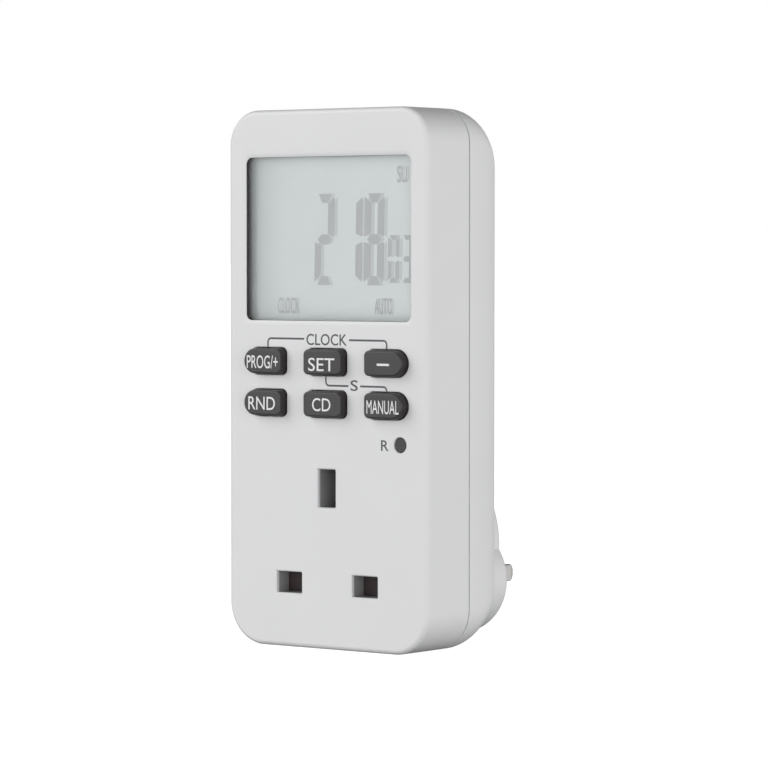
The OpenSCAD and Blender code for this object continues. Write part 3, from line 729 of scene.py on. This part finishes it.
def key_block(name, node, column, depth, grow=0.0):
    """A key's outline between two depths, as a solid, with its span across and up."""
    face = bpy.context.scene.timer_face
    centre = centre_of(node)
    x, z = spans(centre, face.key_width + 2 * grow, face.key_height + 2 * grow)
    obj = block(name, x, z, depth)
    for side, radius in zip((-1, 1), key_ends(column)):
        round_edges(obj, edges_along("y", lambda at: (at.x - centre[0]) * side > 0),
                    radius + grow * 0.99, 12)
    return obj, x, z


class TIMER_OT_front_shell(bpy.types.Operator):
    """Model the front shell with its window, key holes and outlet apertures"""

    bl_idname = "timer.front_shell"
    bl_label = "Front Shell"

    REBATE = 0.9 * MM
    REBATE_DEPTH = 1.8 * MM
    SEAT_X, SEAT_Z = (-18.2, 18.2), (-5.8, 28.7)
    WINDOW_RIM = 0.4 * MM
    HOLE_RIM = 0.15 * MM
    APERTURE_RIM = 0.22 * MM
    RESET_HOLE = 1.8 * MM

    def execute(self, context):
        sizes = context.scene.timer_shells
        face = context.scene.timer_face
        wall = sizes.wall
        shell = case_block("front_shell", 0, (0, sizes.split), 20)
        round_edges(shell, edges_at_depth(0), sizes.front_edge, 7)
        round_edges(shell, edges_at_depth(sizes.split), BROKEN_EDGE, 2)
        past = sizes.split + 1 * MM
        cut(shell, case_block("hollow", wall, (wall, past)))
        cut(shell, case_block("rebate", self.REBATE, (sizes.split - self.REBATE_DEPTH, past)))
        cut(shell, join(self.holes(face, wall)))
        cut(shell, block("seat", in_metres(self.SEAT_X), in_metres(self.SEAT_Z),
                         (1 * MM, wall + 1 * MM)))
        posts = [self.post(at, POST_END, 1.25 * MM, POST_SPLIT, 11 * MM) for at in CASE_POSTS]
        posts += [self.post(at, 1.8 * MM, 0.9 * MM, 8 * MM, 5 * MM) for at in CONTROL_POSTS]
        shell = join([shell, *posts])
        hand_over(shell, "front_shell", "case", "case_white", ["front_case"])
        return {"FINISHED"}

    def holes(self, face, wall):
        """Tools for the window, the key holes, the reset hole and the apertures."""
        rim, fine, chamfer = self.WINDOW_RIM, self.HOLE_RIM, self.APERTURE_RIM
        through = wall + 1 * MM
        window = rounded_block("window", WINDOW_X, WINDOW_Z, (rim, through),
                               face.window_corner, 8)
        tools = [flared(window, WINDOW_X, WINDOW_Z, face.window_bevel, rim)]
        for i, (node, _) in enumerate(KEYS):
            tool, tx, tz = key_block("key_hole", node, i % 3, (fine, through), face.key_gap)
            tools.append(flared(tool, tx, tz, fine, fine))
        hole = round_bar("reset_hole", centre_of("reset_button"), self.RESET_HOLE,
                         (fine, through), 40)
        wide = 1 + fine / self.RESET_HOLE
        push_end(hole, -1, [(fine, wide, wide), (1 * MM, 1, 1)])
        tools.append(hole)
        for ax, az in APERTURES:
            span, rise = in_metres(ax), in_metres(az)
            tool = rounded_block("aperture", span, rise, (chamfer, wall - 0.3 * MM),
                                 0.2 * MM, 3)
            tools.append(flared(tool, span, rise, chamfer, chamfer))
        return tools

    def post(self, at, radius, bore, end, bore_length):
        """A screw post behind the wall, with its pilot hole."""
        place = in_metres(at)
        post = round_bar("post", place, radius, (1.9 * MM, end), 32)
        cut(post, round_bar("pilot", place, bore, (end - bore_length, end + 1 * MM), 24))
        return post


def rolled_form(name, inset, start, step=6):
    """The rear shell's form, drawn in by inset: straight, then rolling in to the back."""
    sizes = bpy.context.scene.timer_shells
    corners = (sizes.corner, sizes.low_corner)

    def outline(share):
        """The outline once that share of the draw-in is reached."""
        return rounded_outline(
            shrunk(CASE_X, inset + sizes.roll_side * share),
            shrunk(CASE_Z, inset + sizes.roll_end * share),
            [radius - inset + (sizes.back_corner - radius) * share for radius in corners], 12)

    rings = [(start, outline(0))]
    for turn in range(0, 90 + step, step):
        drop = (sizes.roll_depth - inset) * (1 - math.sin(math.radians(turn)))
        rings.append((sizes.depth - inset - drop, outline(1 - math.cos(math.radians(turn)))))
    return loft(name, rings)


BOSS_RADIUS, BOSS_RAISED = 24.1 * MM, 8.3 * MM
LOBE_RADIUS, LOBE_X = 12.8 * MM, 13.5 * MM


def boss_outline(inset):
    """The plug boss: a round part about the earth pin and two lobes about live and neutral."""
    big, small = BOSS_RADIUS - inset, LOBE_RADIUS - inset
    centre = (0, BOSS_RAISED)
    gap = math.hypot(LOBE_X, BOSS_RAISED)
    turn = math.acos((small ** 2 + gap ** 2 - big ** 2) / (2 * small * gap))
    crease = math.atan2(BOSS_RAISED, -LOBE_X) - turn
    start = math.degrees(math.atan2(small * math.sin(crease) - BOSS_RAISED,
                                    LOBE_X + small * math.cos(crease)))
    crease = math.degrees(crease)
    return (arc(centre, big, start, 180 - start, 60)
            + arc((-LOBE_X, 0), small, 180 - crease + 4, 270, 24)
            + arc((LOBE_X, 0), small, -90, crease - 4, 24))


def boss_form(name, inset, start, end, step=9):
    """The plug boss, drawn in by inset, with its rounded edge."""
    edge = bpy.context.scene.timer_shells.boss_edge - inset / 2
    rings = [(start, boss_outline(inset))]
    for turn in range(0, 90 + step, step):
        angle = math.radians(turn)
        rings.append((end - edge * (1 - math.sin(angle)),
                      boss_outline(inset + edge * (1 - math.cos(angle)))))
    return loft(name, rings)


class TIMER_OT_rear_shell(bpy.types.Operator):
    """Model the rear shell with its plug boss, screw wells and pin slots"""

    bl_idname = "timer.rear_shell"
    bl_label = "Rear Shell"

    BOSS_WALL = 2.2 * MM
    BOSS_END = 2.5 * MM
    LIP_INSET = 1.4 * MM
    COLUMN, COLUMN_START = 4 * MM, 20.5 * MM
    BOARD_POST, BOARD_POST_START = 2 * MM, 25.8 * MM
    WELL, CLEARANCE = 2.9 * MM, 1.6 * MM

    def execute(self, context):
        sizes = context.scene.timer_shells
        start = sizes.split + sizes.groove
        wall = sizes.wall - 0.2 * MM
        shell = rolled_form("rear_shell", 0, start)
        round_edges(shell, edges_at_depth(start), BROKEN_EDGE, 2)
        cut(shell, boss_form("boss", 0, sizes.depth - 3 * MM, BOSS_FACE), "UNION")
        cut(shell, rolled_form("hollow", wall, start - 1 * MM, 15))
        cut(shell, boss_form("boss_hollow", self.BOSS_WALL, sizes.depth - 4 * MM,
                             BOSS_FACE - self.BOSS_END, 30))
        cut(shell, self.lip(sizes, start), "UNION")
        cut(shell, self.posts(sizes), "UNION")
        cut(shell, join(self.wells()))
        cut(shell, join(self.pin_slots(sizes)))
        hand_over(shell, "rear_shell", "case", "case_white", ["rear_case"])
        return {"FINISHED"}

    def lip(self, sizes, start):
        """The lip that locates the front shell; it shows in the groove."""
        depth = (start - 2 * MM, start + 1 * MM)
        lip = case_block("lip", self.LIP_INSET, depth)
        cut(lip, case_block("lip_hollow", sizes.wall, shrunk(depth, -1 * MM)))
        return lip

    def posts(self, sizes):
        """Screw posts, cut to the shell's own form."""
        bars = [round_bar("post", in_metres(at), self.COLUMN, (self.COLUMN_START, sizes.depth))
                for at in CASE_POSTS[:4]]
        bars += [round_bar("post", in_metres(at), self.BOARD_POST,
                           (self.BOARD_POST_START, sizes.depth), 24) for at in POWER_POSTS]
        posts = join(bars)
        cut(posts, rolled_form("form", 0.5 * MM, sizes.split, 15), "INTERSECT")
        ends = [round_bar("end", in_metres(at), POST_END, (POST_SPLIT, SCREW_SEAT), 32)
                for at in CASE_POSTS]
        boss_post = round_bar("post", in_metres(CASE_POSTS[4]), self.COLUMN,
                              (self.COLUMN_START, BOSS_FACE - 1 * MM))
        cut(posts, join(ends), "UNION")
        cut(posts, boss_post, "UNION")
        return posts

    def wells(self):
        """Tools for the screws' clearance holes and head wells."""
        tools = []
        narrow = self.CLEARANCE / self.WELL
        for at in CASE_POSTS:
            tool = round_bar("well", in_metres(at), self.WELL,
                             (SCREW_SEAT, BOSS_FACE + 1 * MM), 40)
            push_end(tool, -1, [(0, narrow, narrow), (3 * MM, 1, 1)])
            tools.append(tool)
        return tools

    def pin_slots(self, sizes):
        depth = (sizes.depth - 0.5 * MM, BOSS_FACE + 1 * MM)
        slots = []
        for node in ("live_pin", "neutral_pin", "earth_pin"):
            x, z, _ = pin_section(node)
            slots.append(block("slot", shrunk(x, -0.05 * MM), shrunk(z, -0.05 * MM), depth))
        return slots


# ---------- Display ----------


class TIMER_OT_window(bpy.types.Operator):
    """Model the clear window, the lining round it, and a grey sheet of painted shade on the
    window's wall behind the lining
    """

    bl_idname = "timer.window"
    bl_label = "Window"

    FLANGE = 0.88 * MM
    DARK, SHADE = (0.56, 1.5), (1.5, 1.98)
    LINING_GAP, LINING = 0.01 * MM, 0.05 * MM

    def execute(self, context):
        low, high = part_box("display_lens")
        flange = self.FLANGE
        x, z = shrunk((low.x, high.x), flange), shrunk((low.z, high.z), flange)
        front = low.y - FRONT
        seat = context.scene.timer_shells.wall + 0.02 * MM
        pane = rounded_block("window_pane", x, z, (front, seat), 1.3 * MM, 8)
        round_edges(pane, edges_at_depth(front), 0.12 * MM, 3)
        push_end(pane, 1, [(0, *grown(x, z, flange)), (high.y - FRONT - seat, 1, 1)])
        hand_over(pane, "window_pane", "case", "window_clear", ["display_lens"])
        dark = self.lining("window_lining", in_metres(self.DARK))
        hand_over(dark, "window_lining", "case", "black_plastic", ["lens_gasket"])
        # painted shade: a grey sheet on the back of the window's wall stands in for the shade
        # that falls there
        shade = self.lining("window_wall_painted_shade", in_metres(self.SHADE))
        hand_over(shade, "window_wall_painted_shade", "case", "black_plastic", finish="wall_shade")
        return {"FINISHED"}

    def lining(self, name, depth):
        """A thin band round the window's wall."""
        band = self.window_block(name, self.LINING_GAP, depth)
        cut(band, self.window_block("inner", self.LINING_GAP + self.LINING,
                                    shrunk(depth, -1 * MM)))
        return band

    def window_block(self, name, inset, depth):
        """A rounded block that follows the window's outline at an inset."""
        radius = bpy.context.scene.timer_face.window_corner - inset
        return rounded_block(name, shrunk(WINDOW_X, inset), shrunk(WINDOW_Z, inset), depth,
                             radius, 8)


def lettering(name, text, x, z, depth, weight=0.008):
    """Letters that fill a span across and a span up, between two depths."""
    deselect()
    bpy.ops.object.text_add(location=(0, 0, 0))
    obj = bpy.context.object
    obj.data.body = text
    obj.data.size = 1
    obj.data.resolution_u = 4
    obj.data.offset = weight
    obj.data.extrude = (depth[1] - depth[0]) / 2
    bpy.ops.object.convert(target="MESH")
    obj = bpy.context.object
    obj.name = name
    corners = [v.co for v in obj.data.vertices]
    low = (min(c.x for c in corners), min(c.y for c in corners))
    high = (max(c.x for c in corners), max(c.y for c in corners))
    wide = (x[1] - x[0]) / (high[0] - low[0])
    tall = (z[1] - z[0]) / (high[1] - low[1])
    for corner in corners:
        corner.x = x[0] + (corner.x - low[0]) * wide
        corner.y = z[0] + (corner.y - low[1]) * tall
    obj.rotation_euler = (math.pi / 2, 0, 0)
    obj.location = (0, FRONT + sum(depth) / 2, 0)
    settle(obj)
    edit(obj)
    bpy.ops.mesh.select_all(action="SELECT")
    bpy.ops.mesh.remove_doubles(threshold=1e-7)
    leave()
    face_outwards(obj)
    return obj


def figure_segments(x, z, thick, parts):
    """Outlines of a seven-segment figure; parts are letters from a to g."""
    (x0, x1), (z0, z1) = x, z
    middle = (z0 + z1) / 2
    tall = thick * 1.15
    gap = thick * 0.08
    lean = thick * 0.42
    upper = [(x1 - thick, z1 - tall - gap), (x1, z1 - lean), (x1, middle + lean * 0.6 + gap),
             (x1 - thick, middle + tall * 0.55 + gap)]
    shapes = {
        "a": [(x0 + lean + gap, z1), (x1 - lean - gap, z1), (x1 - thick - gap, z1 - tall),
              (x0 + thick + gap, z1 - tall)],
        "b": upper,
        "g": [(x0 + lean, middle), (x0 + thick, middle + tall * 0.55),
              (x1 - thick, middle + tall * 0.55), (x1 - lean, middle),
              (x1 - thick, middle - tall * 0.55), (x0 + thick, middle - tall * 0.55)],
    }
    shapes["c"] = [(px, 2 * middle - pz) for px, pz in upper]
    shapes["f"] = [(x0 + x1 - px, pz) for px, pz in upper]
    shapes["e"] = [(x0 + x1 - px, 2 * middle - pz) for px, pz in upper]
    shapes["d"] = [(px, z0 + z1 - pz) for px, pz in shapes["a"]]
    return [[(px + (pz - middle) * 0.02, pz) for px, pz in shapes[letter]] for letter in parts]


class TIMER_OT_display(bpy.types.Operator):
    """Model the figures and words that the display shows, and their painted shadows, shifted to
    the right
    """

    bl_idname = "timer.display"
    bl_label = "Display"

    BIG = (69.2, 90.3)
    SMALL = (69.8, 80.7)
    FIGURES = [
        ((-5.2, 0.4), BIG, 1.85, "abged"),
        ((3.0, 8.6), BIG, 1.85, "bc"),
        ((9.3, 14.9), BIG, 1.85, "abcdefg"),
        ((16.05, 19.25), SMALL, 1.0, "abcdef"),
        ((20.0, 23.2), SMALL, 1.0, "abgcd"),
    ]
    WORDS = [("SU", (18.7, 21.6), (92.65, 96.45)), ("CLOCK", (-16.3, -9.9), (62.5, 66.3)),
             ("AUTO", (12.2, 17.4), (62.5, 66.3))]
    SHADE_SHIFT = 0.95

    def execute(self, context):
        ink = (LCD_FRONT - 0.045 * MM, LCD_FRONT - 0.02 * MM)
        faint = (LCD_FRONT - 0.018 * MM, LCD_FRONT - 0.003 * MM)
        # display_shades are painted shadows of the figures and words, shifted right, just behind
        # the ink
        for name, depth, shift, finish in (
                ("display_figures", ink, 0, "segment_ink"),
                ("display_shades", faint, self.SHADE_SHIFT, "segment_shade")):
            pieces = []
            for x, z, thick, parts in self.FIGURES:
                moved = (x[0] + shift, x[1] + shift)
                for outline in figure_segments(moved, z, thick, parts):
                    pieces.append(plate("segment", [in_metres(p) for p in outline], depth))
            for text, x, z in self.WORDS:
                span = in_metres((x[0] + shift * 0.6, x[1] + shift * 0.6))
                pieces.append(lettering("word", text, span, in_metres(z), depth))
            hand_over(join(pieces), name, "case", "lcd_glass", finish=finish, angle=20)
        return {"FINISHED"}


# ---------- Keys ----------


class TIMER_OT_keys(bpy.types.Operator):
    """Model the six keys and their printing"""

    bl_idname = "timer.keys"
    bl_label = "Keys"

    TAPER = 0.22 * MM
    TOP_EDGE = 0.42 * MM
    FLANGE = 0.8 * MM
    STEM = 2.2 * MM

    LEGENDS = {
        "program_key": ((-21.95, -12.65), (49.75, 52.8), 0.004),
        "set_key": ((-3.6, 4.1), (49.4, 52.45), 0.003),
        "random_key": ((-21.5, -13.5), (40.1, 43.15), 0.002),
        "countdown_key": ((-2.45, 2.95), (40.15, 43.2), 0.002),
        "manual_key": ((13.45, 22.65), (39.95, 43.05), 0.0),
    }
    MINUS = ((16.4, 19.9), (50.93, 51.45))

    def execute(self, context):
        face = context.scene.timer_face
        rise = face.key_rise - face.print_proud
        flange_front = context.scene.timer_shells.wall + 0.05 * MM
        for i, (node, text) in enumerate(KEYS):
            key, x, z = key_block(node + "_cap", node, i % 3, (0, flange_front))
            push_end(key, -1, [(rise, *grown(x, z, -self.TAPER))])
            round_edges(key, edges_at_depth(-rise), self.TOP_EDGE, 5)
            push_end(key, 1, [(0, *grown(x, z, self.FLANGE)), (0.8 * MM, 1, 1)])
            stem = round_bar("stem", centre_of(node), self.STEM,
                             (flange_front + 0.7 * MM, 3.4 * MM), 32)
            cut(key, stem, "UNION")
            hand_over(key, node + "_cap", node, "key_grey", [node])
            legend = self.legend(node, text, (-rise - face.print_proud, -rise + 0.02 * MM))
            hand_over(legend, node + "_legend", node, "key_grey", finish="key_print", angle=20)
        return {"FINISHED"}

    def legend(self, node, text, depth):
        if node == "minus_key":
            return block("legend", *(in_metres(span) for span in self.MINUS), depth)
        x, z, weight = self.LEGENDS[node]
        return lettering("legend", text, in_metres(x), in_metres(z), depth, weight)


class TIMER_OT_reset_button(bpy.types.Operator):
    """Model the small recessed reset button"""

    bl_idname = "timer.reset_button"
    bl_label = "Reset Button"

    def execute(self, context):
        low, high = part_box("reset_button")
        radius = (high.x - low.x) / 2 - 0.5 * MM
        front = low.y - FRONT
        flange = context.scene.timer_shells.wall + 0.05 * MM
        button = round_bar("reset_cap", centre_of("reset_button"), radius, (front, flange))
        round_edges(button, edges_at_depth(front), 0.2 * MM, 4)
        wide = 1 + 0.5 * MM / radius
        narrow = 1 * MM / (radius * wide)
        push_end(button, 1, [(0, wide, wide), (0.8 * MM, 1, 1), (0, narrow, narrow),
                             (high.y - FRONT - flange - 0.8 * MM, 1, 1)])
        hand_over(button, "reset_cap", "reset_button", "key_grey", ["reset_button"],
                  "reset_grey")
        return {"FINISHED"}


# ---------- Printing ----------


def stroke(points, width, radius):
    """Outline of a line of even width with its corners rounded; points are (x, z)."""
    path = [points[0]]
    for before, corner, after in zip(points, points[1:], points[2:]):
        back = (Vector(before) - Vector(corner)).normalized()
        on = (Vector(after) - Vector(corner)).normalized()
        centre = Vector(corner) + (back + on) * radius
        start = Vector(corner) + back * radius - centre
        turn = math.atan2(back.cross(on), back.dot(on))
        sweep = -math.copysign(math.pi - abs(turn), turn)
        first = math.atan2(start.y, start.x)
        for step in range(7):
            angle = first + sweep * step / 6
            path.append((centre.x + radius * math.cos(angle),
                         centre.y + radius * math.sin(angle)))
    path.append(points[-1])
    left, right = [], []
    for i, here in enumerate(path):
        ahead = path[min(i + 1, len(path) - 1)]
        behind = path[max(i - 1, 0)]
        way = (Vector(ahead) - Vector(behind)).normalized()
        side = Vector((-way.y, way.x)) * width / 2
        left.append(tuple(Vector(here) + side))
        right.append(tuple(Vector(here) - side))
    return left + right[::-1]


class TIMER_OT_printing(bpy.types.Operator):
    """Model the printed words and brackets on the front"""

    bl_idname = "timer.printing"
    bl_label = "Printing"

    LINE = 0.44
    BEND = 0.9
    PROGRAM_X, SET_X, MINUS_X = -17.34, -0.09, 17.57
    CLOCK_Z, SHIFT_Z = 56.75, 46.05
    WORDS = [("CLOCK", (-5.85, 6.05), (55.3, 57.95)), ("S", (7.1, 9.25), (44.95, 47.45)),
             ("R", (15.95, 18.15), (31.45, 33.9))]

    def execute(self, context):
        proud = context.scene.timer_face.print_proud
        depth = (-proud, 0.02 * MM)
        upper_top, lower_top = 54.75, 45.05
        upper_foot = 48.15
        lines = [
            [(self.PROGRAM_X, upper_top), (self.PROGRAM_X, self.CLOCK_Z), (-6.5, self.CLOCK_Z)],
            [(6.7, self.CLOCK_Z - 0.15), (self.MINUS_X, self.CLOCK_Z - 0.15),
             (self.MINUS_X, upper_top)],
            [(self.SET_X, upper_foot), (self.SET_X, self.SHIFT_Z), (6.5, self.SHIFT_Z)],
            [(9.95, self.SHIFT_Z), (self.MINUS_X, self.SHIFT_Z), (self.MINUS_X, lower_top)],
        ]
        pieces = []
        for points in lines:
            outline = stroke([in_metres(p) for p in points], self.LINE * MM, self.BEND * MM)
            pieces.append(plate("line", outline, depth))
        for text, x, z in self.WORDS:
            pieces.append(lettering("word", text, in_metres(x), in_metres(z), depth))
        hand_over(join(pieces), "face_printing", "case", "case_white", finish="case_print",
                  angle=20)
        return {"FINISHED"}


# ---------- Plug ----------

SLEEVE_LENGTH = 9.5 * MM
SLEEVE_WALL = 0.35 * MM
LINE_BLADE, EARTH_BLADE = (6.35, 3.97), (3.97, 7.95)
BLADE_EDGE = 0.28 * MM


def pin_section(node):
    """A pin's span across and up outside the boss, and its span of depth."""
    low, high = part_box(node)
    size = in_metres(EARTH_BLADE if node == "earth_pin" else LINE_BLADE)
    return *spans(centre_of(node), *size), (low.y - FRONT, high.y - FRONT)


class TIMER_OT_pins(bpy.types.Operator):
    """Model the three plug pins and the sleeves on two of them"""

    bl_idname = "timer.pins"
    bl_label = "Pins"

    ROOT = (25.5, 28)

    def execute(self, context):
        sleeves = []
        for node in ("live_pin", "neutral_pin"):
            x, z, depth = pin_section(node)
            end = BOSS_FACE + SLEEVE_LENGTH
            core = block(node, shrunk(x, SLEEVE_WALL), shrunk(z, SLEEVE_WALL),
                         (depth[0], end))
            blade = self.blade(node, x, z, (end - 0.01 * MM, depth[1]), 1.1 * MM)
            cut(core, blade, "UNION")
            self.finish(core, node)
            sleeves.append(self.sleeve(x, z, end))
        x, z, depth = pin_section("earth_pin")
        earth = self.blade("earth_pin", x, z, depth, 1.3 * MM)
        self.finish(earth, "earth_pin")
        hand_over(join(sleeves), "sleeves", "case", "sleeve_black", ["pin_sleeves"])
        return {"FINISHED"}

    def blade(self, name, x, z, depth, taper):
        """A pin with softened edges, tapered over its last stretch."""
        blade = block(name, x, z, (depth[0], depth[1] - taper))
        wide = 1 - 0.7 * taper / (x[1] - x[0])
        high = 1 - 2 * taper / (z[1] - z[0])
        push_end(blade, 1, [(taper, wide, high)])
        tip = depth[1] - taper * 1.01

        def long_or_tip(edge):
            ends = [v.co.y - FRONT for v in edge.verts]
            return abs(ends[0] - ends[1]) > taper / 2 or min(ends) > tip

        round_edges(blade, long_or_tip, BLADE_EDGE, 4)
        return blade

    def finish(self, pin, node):
        """Add the wide root that the case holds, and hand the pin over."""
        low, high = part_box(node)
        root = block("root", (low.x, high.x), (low.z, high.z), in_metres(self.ROOT))
        cut(pin, root, "UNION")
        hand_over(pin, node + "_blade", "case", "pin_nickel", [node])

    def sleeve(self, x, z, end):
        depth = (BOSS_FACE + 0.005 * MM, end - 0.005 * MM)
        sleeve = block("sleeve", x, z, depth)
        round_edges(sleeve, edges_along("y"), BLADE_EDGE, 4)
        cut(sleeve, block("bore", shrunk(x, SLEEVE_WALL), shrunk(z, SLEEVE_WALL),
                          shrunk(depth, -1 * MM)))
        return sleeve


# ---------- Inner parts ----------


class TIMER_OT_inner_parts(bpy.types.Operator):
    """Give every part that is kept as it is its finish"""

    bl_idname = "timer.inner_parts"
    bl_label = "Inner Parts"

    def execute(self, context):
        for part in frame["record"]["subparts"]:
            node = frame["nodes"][part["node"]]
            material = MATERIALS[part["material_slot"]]
            if not node.material_slots:
                node.data.materials.append(material)
            for slot in node.material_slots:
                slot.material = material
        return {"FINISHED"}


# ---------- Studio ----------


class TIMER_OT_studio(bpy.types.Operator):
    """Set up the floor, the soft light and the camera"""

    bl_idname = "timer.studio"
    bl_label = "Studio"

    BAND_SHARPNESS = 7.7
    BAND_LIGHT = 1.335
    BASE_LIGHT = 0.03
    BRIGHTER_TOWARDS = (-0.45, 0.8, 0.3)  # along Y, X and Z
    SOFTBOX_SIZE, SOFTBOX_POWER, SOFTBOX_DISTANCE = 1.5, 19, 2
    SOFTBOX_TOWARDS = (-0.66, -0.56, 0.54)
    AIM = (0.01681, FRONT, 0.04675)
    AZIMUTH, ELEVATION, DISTANCE = math.radians(37.54), math.radians(1.95), 0.867
    LENS = 178.2

    def execute(self, context):
        self.floor()
        self.sky(context.scene)
        self.softbox(context.scene)
        self.camera(context.scene)
        context.scene.view_settings.view_transform = "Standard"
        return {"FINISHED"}

    def floor(self):
        deselect()
        bpy.ops.mesh.primitive_grid_add(
            x_subdivisions=4, y_subdivisions=4, size=60, location=(0, 0, CASE_LOW.z - 0.0001))
        floor = bpy.context.object
        floor.name = "floor"
        settle(floor)
        pale = Finish("pale_floor").set(
            Base_Color=(0.9, 0.9, 0.9, 1), Roughness=0.9, Emission_Color=(1, 1, 1, 1),
            Emission_Strength=0.9)
        floor.data.materials.append(pale.material)
        floor.visible_diffuse = False
        floor.visible_glossy = False

    def sky(self, scene):
        """A soft band of light all round at the object's height, darker above and below."""
        world = bpy.data.worlds.new("studio")
        world.use_nodes = True
        scene.world = world
        tree = Tree(world.node_tree)
        shade = tree.tree.nodes["Background"].inputs
        shade["Color"].default_value = (1, 1, 1, 1)
        split = tree.node("SeparateXYZ")
        tree.link(tree.node("TexCoord").outputs["Generated"], split.inputs[0])
        x, y, z = split.outputs
        level = tree.math("SUBTRACT", 1.0, tree.math("MULTIPLY", z, z))
        band = tree.math("POWER", level, self.BAND_SHARPNESS)
        gain = 1.0
        for axis, slope in zip((y, x, z), self.BRIGHTER_TOWARDS):
            gain = tree.math("MULTIPLY_ADD", axis, slope, gain)
        lit = tree.math("MULTIPLY_ADD", tree.math("MULTIPLY", band, gain),
                        self.BAND_LIGHT, self.BASE_LIGHT)
        seen = tree.node("LightPath").outputs["Is Camera Ray"]
        mixed = tree.node("Mix")
        mixed.data_type = "FLOAT"
        tree.fill((mixed.inputs["Factor"], mixed.inputs["A"], mixed.inputs["B"]),
                  (seen, tree.math("MAXIMUM", lit, 0.0), 1.0))
        tree.link(mixed.outputs["Result"], shade["Strength"])

    def softbox(self, scene):
        """One large soft light from the upper left."""
        data = bpy.data.lights.new("softbox", "AREA")
        light = bpy.data.objects.new("softbox", data)
        scene.collection.objects.link(light)
        data.size = self.SOFTBOX_SIZE
        data.energy = self.SOFTBOX_POWER
        toward = Vector(self.SOFTBOX_TOWARDS).normalized()
        light.location = Vector((0, 0, 0.05)) + toward * self.SOFTBOX_DISTANCE
        light.rotation_euler = toward.to_track_quat("Z", "Y").to_euler()

    def camera(self, scene):
        """A long lens from the right, a little above the middle."""
        data = bpy.data.cameras.new("camera")
        camera = bpy.data.objects.new("camera", data)
        scene.collection.objects.link(camera)
        data.lens = self.LENS
        data.sensor_width = 36
        data.clip_end = 100
        level = math.cos(self.ELEVATION)
        toward = Vector((math.sin(self.AZIMUTH) * level, -math.cos(self.AZIMUTH) * level,
                         math.sin(self.ELEVATION)))
        camera.location = Vector(self.AIM) + toward * self.DISTANCE
        camera.rotation_euler = toward.to_track_quat("Z", "Y").to_euler()
        scene.camera = camera


class TIMER_PT_panel(bpy.types.Panel):
    """Shows the timer's sizes and colours, and a button for each modelling step"""

    bl_idname = "TIMER_PT_panel"
    bl_label = "Programmable Timer"
    bl_space_type = "VIEW_3D"
    bl_region_type = "UI"
    bl_category = "Timer"

    def draw(self, context):
        layout = self.layout
        for group in ("timer_shells", "timer_face", "timer_colours"):
            values = getattr(context.scene, group)
            for name in values.bl_rna.properties.keys():
                if name not in ("rna_type", "name"):
                    layout.prop(values, name)
        for operator in OPERATORS:
            layout.operator(operator.bl_idname)


OPERATORS = (
    TIMER_OT_front_shell, TIMER_OT_rear_shell, TIMER_OT_window, TIMER_OT_display,
    TIMER_OT_keys, TIMER_OT_reset_button, TIMER_OT_printing, TIMER_OT_pins,
    TIMER_OT_inner_parts, TIMER_OT_studio,
)
GROUPS = {
    "timer_shells": TimerShellSizes, "timer_face": TimerFaceSizes,
    "timer_colours": TimerColours,
}


def register():
    for name, group in GROUPS.items():
        bpy.utils.register_class(group)
        setattr(bpy.types.Scene, name, bpy.props.PointerProperty(type=group))
    for operator in OPERATORS:
        bpy.utils.register_class(operator)
    bpy.utils.register_class(TIMER_PT_panel)


def unregister():
    bpy.utils.unregister_class(TIMER_PT_panel)
    for operator in reversed(OPERATORS):
        bpy.utils.unregister_class(operator)
    for name, group in GROUPS.items():
        delattr(bpy.types.Scene, name)
        bpy.utils.unregister_class(group)


def main():
    register()
    MATERIALS.update(make_materials())
    bpy.ops.timer.front_shell()
    bpy.ops.timer.rear_shell()
    bpy.ops.timer.window()
    bpy.ops.timer.display()
    bpy.ops.timer.keys()
    bpy.ops.timer.reset_button()
    bpy.ops.timer.printing()
    bpy.ops.timer.pins()
    bpy.ops.timer.inner_parts()
    bpy.ops.timer.studio()


if __name__ == "__main__":
    main()
